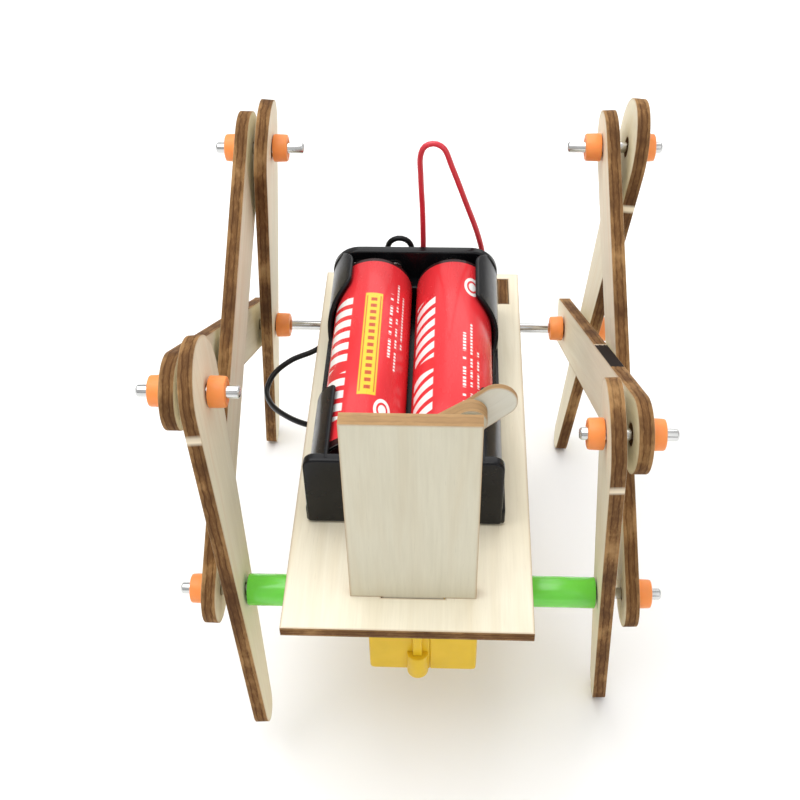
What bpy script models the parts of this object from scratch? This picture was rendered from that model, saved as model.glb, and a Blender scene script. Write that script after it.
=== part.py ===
"""Four-legged walking robot: plywood chassis, twin-cell battery holder, gear motor,
crank-driven legs. Lengths are millimetres in the design frame, whose origin is the
middle of the base plate's top front edge: +X right, +Y to the back, +Z up.
ORIGIN moves that frame so the object stands on z = 0, centred on x and y."""

import math

import bmesh
import bpy
from mathutils import Vector

MM = 0.001
ORIGIN = Vector((-0.85, -47.13, 45.82))      # design frame to object frame
GAP = 0.3                                    # clearance between touching pieces

# chassis boards
PLATE_W, PLATE_L, PLATE_T = 40.0, 90.0, 2.0
PANEL_W, PANEL_H, PANEL_T = 20.2, 39.3, 2.4
PANEL_X, PANEL_Y = 0.8, 6.4                  # middle and front face of the panel
PANEL_TAB_W = 10.0
BRACKET_X, BRACKET_T, BRACKET_TAB = 16.8, 2.0, 7.8

# drive
AXIS_X = 2.2                                 # middle plane of the gearbox
AXIS_Y, AXIS_Z = 17.6, -13.2                 # output shaft
CRANK_R = 4.2
CRANK_ANGLE = math.radians(131.6)            # left pin, right pin is opposite
CRANK_DISC_R, CRANK_DISC_T = 7.4, 3.0
SHAFT_R, SHAFT_FLAT, SHAFT_HALF = 2.7, 1.85, 16.3

# leg linkage
REAR_Y, REAR_Z = 84.3, -9.9                  # fixed rear axle
LINK_F, LINK_L, LINK_B, LINK_A = 38.8, 70.3, 81.4, 44.8
FRONT_FOOT, REAR_FOOT = 29.5, 35.9           # foot beyond the lower pivot
LEG_T = 2.2
HEAD_R, FOOT_R = 8.8, 3.2

# round parts
ROD_R, TIGHT_R, OPEN_R = 1.0, 1.3, 1.8
BUSH_R, BUSH_BORE = 2.55, 1.3
TUBE_R, TUBE_BORE = 2.75, 1.35

# battery holder
HOLD_X, HOLD_Y0, HOLD_Y1 = -1.0, 21.5, 78.5
HOLD_W, HOLD_H, HOLD_WALL = 32.1, 15.5, 1.8
CELL_R, CELL_PITCH, CELL_Z = 7.15, 15.2, 9.0
CLIP_FRONT, CLIP_BACK = 43.0, 60.0

# gear motor
BOX_W, BOX_H, BOX_Y0, BOX_Y1 = 18.6, 22.2, 8.9, 46.0
BOX_TOP = -PLATE_T - GAP
SPLIT_X = 3.4

LEAD_D = 1.1


# ---------------------------------------------------------------- scene helpers
def clear_scene():
    for obj in list(bpy.data.objects):
        bpy.data.objects.remove(obj, do_unlink=True)


def material(name, color, rough, metal=0.0):
    mat = bpy.data.materials.new(name)
    mat.use_nodes = True
    bsdf = mat.node_tree.nodes["Principled BSDF"]
    bsdf.inputs["Base Color"].default_value = (*color, 1.0)
    bsdf.inputs["Roughness"].default_value = rough
    bsdf.inputs["Metallic"].default_value = metal
    mat.diffuse_color = (*color, 1.0)
    return mat


PLACED = {}


def put(obj, at, parent=None):
    """Place obj with its origin at a design-frame point, under a parent."""
    bpy.context.collection.objects.link(obj)
    here = Vector(at)
    PLACED[obj.name] = here
    base = Vector((0.0, 0.0, 0.0)) - ORIGIN if parent is None else PLACED[parent.name]
    obj.parent = parent
    obj.location = (here - base) * MM
    return obj


def pivot(name, at, parent=None):
    empty = bpy.data.objects.new(name, None)
    empty.empty_display_size = 4 * MM
    return put(empty, at, parent)


def mesh_object(name, bm, mat, at, parent=None, angle=35.0):
    """bm holds design-frame millimetres; the object's origin goes to `at`."""
    bmesh.ops.translate(bm, verts=bm.verts, vec=-Vector(at))
    bmesh.ops.scale(bm, verts=bm.verts, vec=(MM, MM, MM))
    bmesh.ops.recalc_face_normals(bm, faces=bm.faces)
    mesh = bpy.data.meshes.new(name)
    bm.to_mesh(mesh)
    bm.free()
    mesh.materials.append(mat)
    mesh.shade_smooth()
    mesh.set_sharp_from_angle(angle=math.radians(angle))
    return put(bpy.data.objects.new(name, mesh), at, parent)


def helper(obj):
    obj.hide_render = True
    obj.display_type = "WIRE"
    obj.hide_set(True)
    return obj


def combine(target, other, operation):
    mod = target.modifiers.new(other.name, "BOOLEAN")
    mod.operation = operation
    mod.solver = "EXACT"
    mod.object = helper(other)


# ---------------------------------------------------------------- shape helpers
def arc(cx, cy, radius, a0, a1, count):
    """Points along an arc, angles in degrees, both ends included."""
    out = []
    for i in range(count):
        a = math.radians(a0 + (a1 - a0) * i / (count - 1))
        out.append((cx + radius * math.cos(a), cy + radius * math.sin(a)))
    return out


def circle(cx, cy, radius, count=20):
    step = 360.0 / count
    return arc(cx, cy, radius, 0.0, 360.0 - step, count)


def rounded(x0, y0, x1, y1, radii, count=5):
    """Rectangle with corner radii (low-left, low-right, high-right, high-left)."""
    a, b, c, d = radii
    return (arc(x0 + a, y0 + a, a, 180, 270, count) + arc(x1 - b, y0 + b, b, 270, 360, count)
            + arc(x1 - c, y1 - c, c, 0, 90, count) + arc(x0 + d, y1 - d, d, 90, 180, count))


def prism(loops, lay, d0, d1):
    """Closed prism from an outer loop and hole loops; lay(a, b, d) gives a point."""
    bm = bmesh.new()
    edges = []
    for loop in loops:
        ring = [bm.verts.new(lay(a, b, d0)) for a, b in loop]
        edges += [bm.edges.new((v, ring[i - 1])) for i, v in enumerate(ring)]
    fill = bmesh.ops.triangle_fill(bm, use_beauty=True, use_dissolve=False, edges=edges)
    faces = [g for g in fill["geom"] if isinstance(g, bmesh.types.BMFace)]
    more = bmesh.ops.extrude_face_region(bm, geom=faces)
    moved = [g for g in more["geom"] if isinstance(g, bmesh.types.BMVert)]
    step = Vector(lay(0, 0, d1)) - Vector(lay(0, 0, d0))
    bmesh.ops.translate(bm, verts=moved, vec=step)
    return bm


def lay_x(a, b, d):
    return (d, a, b)


def lay_y(a, b, d):
    return (a, d, b)


def lay_z(a, b, d):
    return (a, b, d)


def turned(profile, centre, lay, count=20, start=0.0):
    """Turn (along, radius) points about an axis through centre; lay picks the axis.
    A profile that ends at radius 0 is solid, otherwise it closes into a ring."""
    bm = bmesh.new()
    ca, cb = centre
    rings = []
    for along, radius in profile:
        if radius < 1e-6:
            rings.append([bm.verts.new(lay(ca, cb, along))])
            continue
        ring = []
        for i in range(count):
            t = start + 2 * math.pi * i / count
            ring.append(bm.verts.new(lay(ca + radius * math.cos(t), cb + radius * math.sin(t), along)))
        rings.append(ring)
    pairs = list(zip(rings, rings[1:]))
    if len(rings[0]) > 1:
        pairs.append((rings[-1], rings[0]))
    for low, high in pairs:
        for i in range(count):
            j = (i + 1) % count
            if len(low) == 1:
                bm.faces.new((low[0], high[i], high[j]))
            elif len(high) == 1:
                bm.faces.new((low[i], low[j], high[0]))
            else:
                bm.faces.new((low[i], low[j], high[j], high[i]))
    return bm


def block(x0, x1, y0, y1, z0, z1, bevel=0.0, segments=2):
    bm = bmesh.new()
    bmesh.ops.create_cube(bm, size=1.0)
    bmesh.ops.scale(bm, verts=bm.verts, vec=(x1 - x0, y1 - y0, z1 - z0))
    bmesh.ops.translate(bm, verts=bm.verts, vec=((x0 + x1) / 2, (y0 + y1) / 2, (z0 + z1) / 2))
    if bevel:
        bmesh.ops.bevel(bm, geom=bm.edges, offset=bevel, segments=segments, affect="EDGES", profile=0.5)
    return bm


def rod_bm(x0, x1, centre, radius=ROD_R, chamfer=0.3, count=16):
    profile = [(x0, 0), (x0, radius - chamfer), (x0 + chamfer, radius),
               (x1 - chamfer, radius), (x1, radius - chamfer), (x1, 0)]
    return turned(profile, centre, lay_x, count)


def disc_bm(x0, x1, centre, radius, count):
    return turned([(x0, 0), (x0, radius), (x1, radius), (x1, 0)], centre, lay_x, count)


def sleeve_bm(x0, x1, centre, outer, bore, chamfer=0.25, count=20):
    profile = [(x0, bore), (x0, outer - chamfer), (x0 + chamfer, outer),
               (x1 - chamfer, outer), (x1, outer - chamfer), (x1, bore)]
    return turned(profile, centre, lay_x, count)


def tangent_hull(s0, r0, s1, r1, count=18):
    """Outline round two circles on the s axis, r0 at s0 and r1 at s1 > s0."""
    lean = math.degrees(math.asin((r0 - r1) / (s1 - s0)))
    left = arc(s0, 0, r0, 90 - lean, 270 + lean, count + 6)
    right = arc(s1, 0, r1, -90 + lean, 90 - lean, count)
    return left + right


# ---------------------------------------------------------------- linkage
def meet(p, reach_p, q, reach_q):
    """The point reach_p from p and reach_q from q, on the left of p towards q."""
    span = q - p
    dist = span.length
    along = (reach_p ** 2 - reach_q ** 2 + dist ** 2) / (2 * dist)
    off = math.sqrt(reach_p ** 2 - along ** 2)
    unit = span / dist
    return p + unit * along + Vector((-unit.y, unit.x)) * off


def linkage(angle):
    """Pivots in the (y, z) plane: crank pin, front head, rear head."""
    pin = Vector((AXIS_Y, AXIS_Z)) + CRANK_R * Vector((math.cos(angle), math.sin(angle)))
    rear = Vector((REAR_Y, REAR_Z))
    return pin, meet(pin, LINK_F, rear, LINK_L), meet(pin, LINK_B, rear, LINK_A)


def board(name, mat, a, b, xa, xb, outline, holes, at, parent):
    """Leg board from pivot a to pivot b in the (y, z) plane. outline and holes are in
    (along, across); its middle plane goes from x = xa at a to x = xb at b."""
    unit = (b - a).normalized()
    length = (b - a).length
    side = Vector((-unit.y, unit.x))
    loops = [outline] + [circle(s, n, r, 20) for s, n, r in holes]

    def lay(s, n, d):
        p = a + unit * s + side * n
        return (d, p.x, p.y)

    bm = prism(loops, lay, -LEG_T / 2, LEG_T / 2)
    slope = (xb - xa) / length
    for vert in bm.verts:
        s = (Vector((vert.co.y, vert.co.z)) - a).dot(unit)
        vert.co.x += xa + slope * s
    return mesh_object(name, bm, mat, at, parent, 40)


# ---------------------------------------------------------------- chassis
def make_chassis(mats):
    ply = mats["plywood"]
    half = PLATE_W / 2
    outline = rounded(-half, 0, half, PLATE_L, (0.4,) * 4, 3)
    tab = PANEL_TAB_W / 2 + GAP
    slots = [rounded(PANEL_X - tab, PANEL_Y - GAP, PANEL_X + tab, PANEL_Y + PANEL_T + GAP, (0.1,) * 4, 2)]
    for sign in (-1, 1):
        mid = sign * BRACKET_X
        wide, long = BRACKET_T / 2 + GAP, BRACKET_TAB / 2 + GAP
        slots.append(rounded(mid - wide, REAR_Y - long, mid + wide, REAR_Y + long, (0.1,) * 4, 2))
    plate = mesh_object("base_plate", prism([outline] + slots, lay_z, -PLATE_T, 0.0), ply, (0, 0, 0))

    x0, x1 = PANEL_X - PANEL_W / 2, PANEL_X + PANEL_W / 2
    t0, t1 = PANEL_X - PANEL_TAB_W / 2, PANEL_X + PANEL_TAB_W / 2
    loop = [(x0, GAP), (t0, GAP), (t0, -PLATE_T), (t1, -PLATE_T), (t1, GAP), (x1, GAP),
            (x1, PANEL_H - 0.4), (x1 - 0.4, PANEL_H), (x0 + 0.4, PANEL_H), (x0, PANEL_H - 0.4)]
    mesh_object("front_panel", prism([loop], lay_y, PANEL_Y, PANEL_Y + PANEL_T), ply,
                (PANEL_X, PANEL_Y, 0), plate)

    back = PANEL_Y + PANEL_T + GAP
    make_strip("panel_batten", ply, (9.2, 37.3), 37.0, 15.0, 2.3, back, back + 2.4, plate)
    make_strip("panel_paddle", mats["birch"], (12.9, 38.7), 43.0, 17.0, 2.8,
               back + 2.4 + GAP, back + 2.4 + GAP + 0.9, plate)

    for side, sign in (("left", -1), ("right", 1)):
        mid = sign * BRACKET_X
        reach = BRACKET_TAB / 2
        low = arc(REAR_Y, REAR_Z, 4.9, 180, 360, 13)
        loop = low + [(REAR_Y + 4.9, -PLATE_T - GAP), (REAR_Y + reach, -PLATE_T - GAP),
                      (REAR_Y + reach, 0.0), (REAR_Y - reach, 0.0),
                      (REAR_Y - reach, -PLATE_T - GAP), (REAR_Y - 4.9, -PLATE_T - GAP)]
        hole = circle(REAR_Y, REAR_Z, TIGHT_R)
        mesh_object("axle_bracket_" + side,
                    prism([loop, hole], lay_x, mid - BRACKET_T / 2, mid + BRACKET_T / 2),
                    ply, (mid, REAR_Y, REAR_Z), plate)
    return plate


def make_strip(name, mat, end, tilt, length, radius, y0, y1, parent):
    """Round-ended strip flat against the panel's back; `end` is its upper round's centre."""
    ux, uz = math.cos(math.radians(tilt)), math.sin(math.radians(tilt))
    outline = tangent_hull(-length, radius, 0.0, radius, 12)
    loop = [(end[0] + s * ux - n * uz, end[1] + s * uz + n * ux) for s, n in outline]
    mesh_object(name, prism([loop], lay_y, y0, y1), mat, (end[0], y0, end[1]), parent)


# ---------------------------------------------------------------- battery holder
def cradle_outline(height):
    """Cross-section of the tray: flat outside, two round troughs inside."""
    half = HOLD_W / 2
    floor, reach = GAP, CELL_R + 0.4
    mid, ridge = CELL_PITCH / 2, 5.2
    top = math.degrees(math.asin((height - CELL_Z) / reach))
    low = math.degrees(math.asin((ridge - CELL_Z) / reach))
    right = arc(mid, CELL_Z, reach, top, -180 - low, 16)
    left = [(-x, z) for x, z in reversed(right)]
    return [(-half, floor), (half, floor), (half, height)] + right + left + [(-half, height)]


def clip_outline(sign):
    """Curved wall that holds a cell down, from low on the side to near its top."""
    inner, outer = CELL_R + 0.4, HOLD_W / 2 - CELL_PITCH / 2
    mid = CELL_PITCH / 2
    curve = arc(mid, CELL_Z, outer, 0, 62, 12) + arc(mid, CELL_Z, inner, 62, -26, 14)
    loop = [(mid + outer, CELL_Z - 4.5)] + curve
    loop[-1] = (mid + outer - 1.2, CELL_Z - 4.5)
    return [(sign * x, z) for x, z in loop]


def shifted(loop):
    return [(HOLD_X + x, z) for x, z in loop]


def make_holder(mats, plate):
    black = mats["black_plastic"]
    mid_y = (HOLD_Y0 + HOLD_Y1) / 2
    at = (HOLD_X, mid_y, 0)
    tray = mesh_object("battery_holder",
                       prism([shifted(cradle_outline(6.2))], lay_y, HOLD_Y0 + 0.6, HOLD_Y1 - 0.6),
                       black, at, plate, 30)
    front = rounded(-HOLD_W / 2 - 0.5, GAP, HOLD_W / 2 + 0.2, HOLD_H, (0.5, 0.5, 1.6, 1.6), 5)
    rear = rounded(-HOLD_W / 2, GAP, HOLD_W / 2, HOLD_H + 0.2, (0.5, 0.5, 5.4, 5.4), 7)
    operands = [prism([shifted(front)], lay_y, HOLD_Y0, HOLD_Y0 + HOLD_WALL),
                prism([shifted(rear)], lay_y, HOLD_Y1 - HOLD_WALL, HOLD_Y1)]
    for sign in (-1, 1):
        clip = shifted(clip_outline(sign))
        operands.append(prism([clip], lay_y, HOLD_Y0 + 1.0, CLIP_FRONT))
        operands.append(prism([clip], lay_y, CLIP_BACK, HOLD_Y1 - 1.0))
        foot = rounded(sign * HOLD_W / 2 - 0.8, GAP, sign * HOLD_W / 2 + 0.8, 4.0, (0.2,) * 4, 3)
        operands.append(prism([shifted(foot)], lay_y, HOLD_Y0 + 0.4, HOLD_Y0 + 9.0))
    for i, bm in enumerate(operands):
        combine(tray, mesh_object("holder_add_%d" % i, bm, black, at, plate), "UNION")

    y_in0, y_in1 = HOLD_Y0 + HOLD_WALL, HOLD_Y1 - HOLD_WALL
    for side, sign in (("left", -1), ("right", 1)):
        cx = HOLD_X + sign * CELL_PITCH / 2
        flip = -sign                                   # left nub at the back, right at the front
        contact = (y_in1 if flip > 0 else y_in0) - flip * 0.3
        nub = contact - flip * 0.8
        body = nub - flip * 1.3
        tail = body - flip * 48.6
        profile = [(tail, 0), (tail, CELL_R - 0.5), (tail + flip * 0.5, CELL_R), (body - flip * 0.5, CELL_R),
                   (body, CELL_R - 0.5), (body, 2.75), (nub - flip * 0.3, 2.75), (nub, 2.45), (nub, 0)]
        mesh_object("cell_" + side, turned(profile, (cx, CELL_Z), lay_y, 32), mats["cell"],
                    (cx, body, CELL_Z), plate)
        loop = rounded(cx - 5.0, 4.6, cx + 5.0, 13.4, (1.0,) * 4, 4)
        lo, hi = sorted((contact, contact - flip * 0.4))
        mesh_object("contact_" + side, prism([loop], lay_y, lo, hi), mats["steel"], (cx, lo, CELL_Z), plate)
        start = y_in0 + 0.55 if flip > 0 else y_in1 - 0.55
        make_spring("spring_" + side, mats["steel"], cx, start, tail - flip * 0.55, plate)
    return tray


def make_spring(name, mat, cx, y0, y1, parent):
    """Conical contact spring between the end wall and the flat end of a cell."""
    turns, per_turn = 2.6, 14
    count = int(turns * per_turn)
    points = []
    for i in range(count + 1):
        t = i / count
        a = 2 * math.pi * turns * t
        r = 4.6 - 2.2 * t
        points.append((cx + r * math.cos(a), y0 + (y1 - y0) * t, CELL_Z + r * math.sin(a)))
    wire(name, mat, points, 0.42, parent, 1)


def wire(name, mat, points, diameter, parent, resolution):
    """Round wire along design-frame points, as a bevelled curve with capped ends."""
    at = Vector(points[0])
    data = bpy.data.curves.new(name, "CURVE")
    data.dimensions = "3D"
    data.bevel_depth = diameter / 2 * MM
    data.bevel_resolution = resolution
    data.use_fill_caps = True
    spline = data.splines.new("POLY")
    spline.points.add(len(points) - 1)
    for knot, p in zip(spline.points, points):
        knot.co = (*((Vector(p) - at) * MM), 1.0)
    data.materials.append(mat)
    return put(bpy.data.objects.new(name, data), at, parent)


# ---------------------------------------------------------------- gear motor
def box_profile(y0, y1):
    top = BOX_TOP
    return rounded(y0, top - BOX_H, y1, top, (0.8, 1.2, 1.2, 0.8), 4)


def make_motor(mats, plate):
    yellow = mats["yellow_plastic"]
    x0, x1 = AXIS_X - BOX_W / 2, AXIS_X + BOX_W / 2
    axis = (AXIS_Y, AXIS_Z)
    wall = 1.8
    for side, a, b in (("left", x0, SPLIT_X), ("right", SPLIT_X + GAP, x1)):
        at = ((a + b) / 2, AXIS_Y, AXIS_Z)
        left = side == "left"
        shell = mesh_object("gearbox_" + side, prism([box_profile(BOX_Y0, BOX_Y1)], lay_x, a, b),
                            yellow, at, plate, 30)
        lo, hi = (a + wall, b + 1.0) if left else (a - 1.0, b - wall)
        open0, open1 = (a + 0.7, b - 0.2) if left else (a + 0.2, b - 0.7)
        out0, out1 = (a - 0.9, a + 0.7) if left else (b - 0.7, b + 0.9)

        def tool(kind, bm, operation):
            combine(shell, mesh_object(kind + "_" + side, bm, yellow, at, plate), operation)

        tool("hollow", prism([rounded(BOX_Y0 + wall, BOX_TOP - BOX_H + wall, BOX_Y1 - wall,
                                      BOX_TOP - wall, (1.0,) * 4, 4)], lay_x, lo, hi), "DIFFERENCE")
        screws = ((30.0, BOX_TOP - 4.9), (30.0, BOX_TOP - BOX_H + 4.9))
        for i, centre in enumerate(screws):
            tool("post_%d" % i, disc_bm(open0, open1, centre, 2.4, 16), "UNION")
        tool("collar", disc_bm(out0, out1, axis, 4.4, 24), "UNION")
        tool("bore", disc_bm(a - 2, b + 2, axis, 3.1, 24), "DIFFERENCE")
        for i, centre in enumerate(screws):
            tool("screw_way_%d" % i, disc_bm(a - 2, b + 2, centre, 1.3, 16), "DIFFERENCE")
        if left:
            boss = arc(1.3, BOX_Y0, 2.0, 0, -180, 13) + [(-0.7, BOX_Y0 + 0.9), (3.3, BOX_Y0 + 0.9)]
            tool("boss", prism([boss], lay_z, BOX_TOP - BOX_H + 0.9, -18.8), "UNION")
            tool("rib", block(0.5, 2.1, BOX_Y0 - 0.9, BOX_Y0 + 0.6, -20.0, BOX_TOP - 1.5), "UNION")

    # motor can with two flats, its axis along y
    can_z = BOX_TOP - BOX_H / 2
    can_y0, can_y1 = BOX_Y1 + GAP, 66.0
    flat = 7.6
    reach = 9.9
    lean = math.degrees(math.acos(flat / reach))
    can = ([(AXIS_X + x, can_z + z) for x, z in arc(0, 0, reach, lean, 180 - lean, 15)]
           + [(AXIS_X + x, can_z + z) for x, z in arc(0, 0, reach, 180 + lean, 360 - lean, 15)])
    mesh_object("motor_can", prism([can], lay_y, can_y0, can_y1), mats["steel"], (AXIS_X, can_y0, can_z), plate)
    cap = [(AXIS_X + (x - AXIS_X) * 0.97, can_z + (z - can_z) * 0.97) for x, z in can]
    mesh_object("motor_end_cap", prism([cap], lay_y, can_y1 + GAP, can_y1 + 2.6), mats["white_plastic"],
                (AXIS_X, can_y1, can_z), plate)
    back = can_y1 + 2.6 + GAP
    for side, sign in (("left", -1), ("right", 1)):
        tx = AXIS_X + sign * 4.6
        lug = [(back, can_z - 1.1), (back + 3.4, can_z - 1.1), (back + 4.0, can_z - 0.4),
               (back + 4.0, can_z + 0.4), (back + 3.4, can_z + 1.1), (back, can_z + 1.1)]
        eye = circle(back + 2.4, can_z, 0.55, 12)
        mesh_object("terminal_" + side, prism([lug, eye], lay_x, tx - 0.25, tx + 0.25), mats["brass"],
                    (tx, back, can_z), plate)

    # clear strap round the can
    inner = [(AXIS_X + (x - AXIS_X) * 1.035, can_z + (z - can_z) * 1.035) for x, z in can]
    outer = [(AXIS_X + (x - AXIS_X) * 1.10, can_z + (z - can_z) * 1.10) for x, z in can]
    mesh_object("motor_strap", prism([outer, inner], lay_y, 52.0, 57.0), mats["strap"],
                (AXIS_X, 52.0, can_z), plate)


# ---------------------------------------------------------------- drive train
def double_flat(radius, flat, angle):
    """Circle with two flats whose normals point along `angle`."""
    lean = math.degrees(math.acos(flat / radius))
    turn = math.degrees(angle)
    out = arc(0, 0, radius, turn + lean, turn + 180 - lean, 9) + arc(0, 0, radius, turn + 180 + lean, turn + 360 - lean, 9)
    return [(AXIS_Y + a, AXIS_Z + b) for a, b in out]


def gear_outline(radius, teeth, height, cy, cz):
    """Spur gear outline with straight-sided teeth."""
    out = []
    pitch = 2 * math.pi / teeth
    for i in range(teeth):
        for frac, lift in ((-0.32, 0.0), (-0.15, height), (0.15, height), (0.32, 0.0)):
            a = (i + frac) * pitch
            out.append((cy + (radius + lift) * math.cos(a), cz + (radius + lift) * math.sin(a)))
    return out


def make_crank(mats, plate, pins):
    hub = (AXIS_X, AXIS_Y, AXIS_Z)
    crank = pivot("crank_axis", hub, plate)
    lo, hi = AXIS_X - SHAFT_HALF, AXIS_X + SHAFT_HALF
    shaft = prism([double_flat(SHAFT_R, SHAFT_FLAT, CRANK_ANGLE)], lay_x, lo, hi)
    mesh_object("output_shaft", shaft, mats["white_plastic"], hub, crank)
    gear = prism([gear_outline(5.2, 16, 1.2, AXIS_Y, AXIS_Z),
                  double_flat(SHAFT_R + GAP, SHAFT_FLAT + GAP, CRANK_ANGLE)], lay_x, AXIS_X - 4.0, AXIS_X - 0.5)
    mesh_object("output_gear", gear, mats["white_plastic"], hub, crank)
    for side, sign in (("left", -1), ("right", 1)):
        pin = pins[side]
        a, b = sorted((AXIS_X + sign * (SHAFT_HALF - 2.6), AXIS_X + sign * (SHAFT_HALF + 0.4)))
        disc = prism([circle(AXIS_Y, AXIS_Z, CRANK_DISC_R, 32),
                      double_flat(SHAFT_R + 0.25, SHAFT_FLAT + 0.25, CRANK_ANGLE),
                      circle(pin.x, pin.y, TIGHT_R, 14)], lay_x, a, b)
        mesh_object("crank_disc_" + side, disc, mats["plywood"], hub, crank)
    return crank


# ---------------------------------------------------------------- legs
# x of each board's middle plane at its two pivots, on either side
LAYOUT = {
    "left": {"F": (-29.45, -32.85), "L": (-36.7, -35.8), "B": (-33.75, -32.3), "A": (-28.8, -32.4)},
    "right": {"F": (33.85, 31.6), "L": (35.45, 31.2), "B": (38.15, 34.75), "A": (39.2, 35.1)},
}
# x from and to of rods, bushes and the green tube, inner end first
ROUND = {
    "left": {"pin": (-17.4, -39.5), "tube": (-19.3, -27.8), "P1": (-35.2, -37.7),
             "P2": (-26.4, -42.9), "P2in": (-31.2, -28.5), "P2out": (-38.15, -40.8),
             "P3": (-21.6, -38.1), "P3in": (-27.15, -24.6), "P3out": (-33.8, -36.3),
             "P4in": (-30.75, -28.0), "P4out": (-37.25, -39.8)},
    "right": {"pin": (21.8, 43.9), "tube": (21.4, 32.25), "P1": (39.7, 42.1),
              "P2": (26.3, 41.7), "P2in": (30.0, 27.5), "P2out": (37.05, 39.6),
              "P3": (27.2, 44.6), "P3in": (33.2, 30.4), "P3out": (40.85, 43.2),
              "P4in": (29.6, 27.0), "P4out": (36.75, 39.2)},
}


def make_side(side, mats, plate, crank, points):
    pin, head, top = points
    rear = Vector((REAR_Y, REAR_Z))
    xs, rd = LAYOUT[side], ROUND[side]
    ply, orange, steel = mats["plywood"], mats["orange_plastic"], mats["steel"]

    def rod(name, key, centre, parent, at):
        a, b = sorted(rd[key])
        mesh_object(name + side, rod_bm(a, b, (centre.x, centre.y)), steel, at, parent)

    def bush(name, key, centre, parent, at):
        a, b = sorted(rd[key])
        mesh_object(name + side, sleeve_bm(a, b, (centre.x, centre.y), BUSH_R, BUSH_BORE), orange, at, parent)

    def at_point(x, p):
        return (x, p.x, p.y)

    sign = -1 if side == "left" else 1
    face = AXIS_X + sign * (SHAFT_HALF - 2.3)
    pin_at = at_point(face, pin)
    a, b = sorted((face, rd["pin"][1]))
    mesh_object("crank_pin_" + side, rod_bm(a, b, (pin.x, pin.y)), steel, pin_at, crank)
    a, b = sorted((AXIS_X + sign * (SHAFT_HALF + 0.7), rd["tube"][1]))
    mesh_object("green_tube_" + side, sleeve_bm(a, b, (pin.x, pin.y), TUBE_R, TUBE_BORE, 0.15, 24),
                mats["green_plastic"], pin_at, crank)
    bush("pin_bush_", "P1", pin, crank, pin_at)

    # front leg: coupler on the crank pin, head at the front pivot, foot below the pin
    leg = pivot("front_leg_axis_" + side, at_point(xs["F"][0], pin), crank)
    reach = LINK_F + FRONT_FOOT - FOOT_R
    outline = tangent_hull(0.0, HEAD_R, reach, FOOT_R)
    board("front_leg_" + side, ply, head, pin, xs["F"][1], xs["F"][0], outline,
          [(0, 0, TIGHT_R), (LINK_F, 0, TIGHT_R)], at_point(xs["F"][0], pin), leg)
    rod("front_rod_", "P2", head, leg, at_point(xs["F"][1], head))
    bush("front_bush_in_", "P2in", head, leg, at_point(xs["F"][1], head))
    bush("front_bush_out_", "P2out", head, leg, at_point(xs["F"][1], head))

    # connecting bar: on the crank pin, carries the rear top pivot
    bar = pivot("bar_axis_" + side, at_point(xs["B"][0], pin), crank)
    outline = tangent_hull(0.0, 6.7, LINK_B, 5.8)
    board("bar_" + side, ply, top, pin, xs["B"][1], xs["B"][0], outline,
          [(0, 0, TIGHT_R), (LINK_B, 0, TIGHT_R)], at_point(xs["B"][0], pin), bar)
    rod("top_rod_", "P3", top, bar, at_point(xs["B"][1], top))
    bush("top_bush_in_", "P3in", top, bar, at_point(xs["B"][1], top))
    bush("top_bush_out_", "P3out", top, bar, at_point(xs["B"][1], top))

    # rocker link: fixed rear axle to the front pivot, square at its rear end
    link = pivot("link_axis_" + side, at_point(xs["L"][1], rear), plate)
    lean = math.degrees(math.asin((6.2 - 4.7) / LINK_L))
    flip = -1
    outline = ([(-9.0, 4.3 * flip), (-9.0, -4.6 * flip), (-8.8, -4.8 * flip)]
               + arc(LINK_L, 0, 6.2, 90 + lean, -90 - lean, 20) + [(-6.0, 4.8 * flip)])
    board("link_" + side, ply, rear, head, xs["L"][1], xs["L"][0], outline,
          [(0, 0, TIGHT_R), (LINK_L, 0, OPEN_R)], at_point(xs["L"][1], rear), link)

    # rear leg: rocker on the rear axle, head at the rear top pivot
    hind = pivot("rear_leg_axis_" + side, at_point(xs["A"][1], rear), plate)
    outline = tangent_hull(0.0, HEAD_R, LINK_A + REAR_FOOT - FOOT_R, FOOT_R)
    board("rear_leg_" + side, ply, top, rear, xs["A"][0], xs["A"][1], outline,
          [(0, 0, OPEN_R), (LINK_A, 0, TIGHT_R)], at_point(xs["A"][1], rear), hind)

    bush("axle_bush_in_", "P4in", rear, plate, at_point(rd["P4in"][0], rear))
    bush("axle_bush_out_", "P4out", rear, plate, at_point(rd["P4out"][0], rear))


# ---------------------------------------------------------------- leads
def smooth_path(knots, spacing):
    """Even points along a centripetal Catmull-Rom curve through the knots."""
    pts = [Vector(k) for k in knots]
    pts = [2 * pts[0] - pts[1]] + pts + [2 * pts[-1] - pts[-2]]
    dense = []
    for p0, p1, p2, p3 in zip(pts, pts[1:], pts[2:], pts[3:]):
        t1 = (p1 - p0).length ** 0.5
        t2 = t1 + (p2 - p1).length ** 0.5
        t3 = t2 + (p3 - p2).length ** 0.5
        for i in range(24):
            t = t1 + (t2 - t1) * i / 24
            a1 = p0.lerp(p1, t / t1)
            a2 = p1.lerp(p2, (t - t1) / (t2 - t1))
            a3 = p2.lerp(p3, (t - t2) / (t3 - t2))
            b1 = a1.lerp(a2, t / t2)
            b2 = a2.lerp(a3, (t - t1) / (t3 - t1))
            dense.append(b1.lerp(b2, (t - t1) / (t2 - t1)))
    dense.append(pts[-2])
    total = sum((b - a).length for a, b in zip(dense, dense[1:]))
    count = round(total / spacing)
    out, run, nxt = [dense[0]], 0.0, total / count
    for a, b in zip(dense, dense[1:]):
        step = (b - a).length
        while run + step >= nxt - 1e-6 and len(out) < count:
            out.append(a.lerp(b, (nxt - run) / step))
            nxt += total / count
        run += step
    out.append(dense[-1])
    return out


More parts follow.
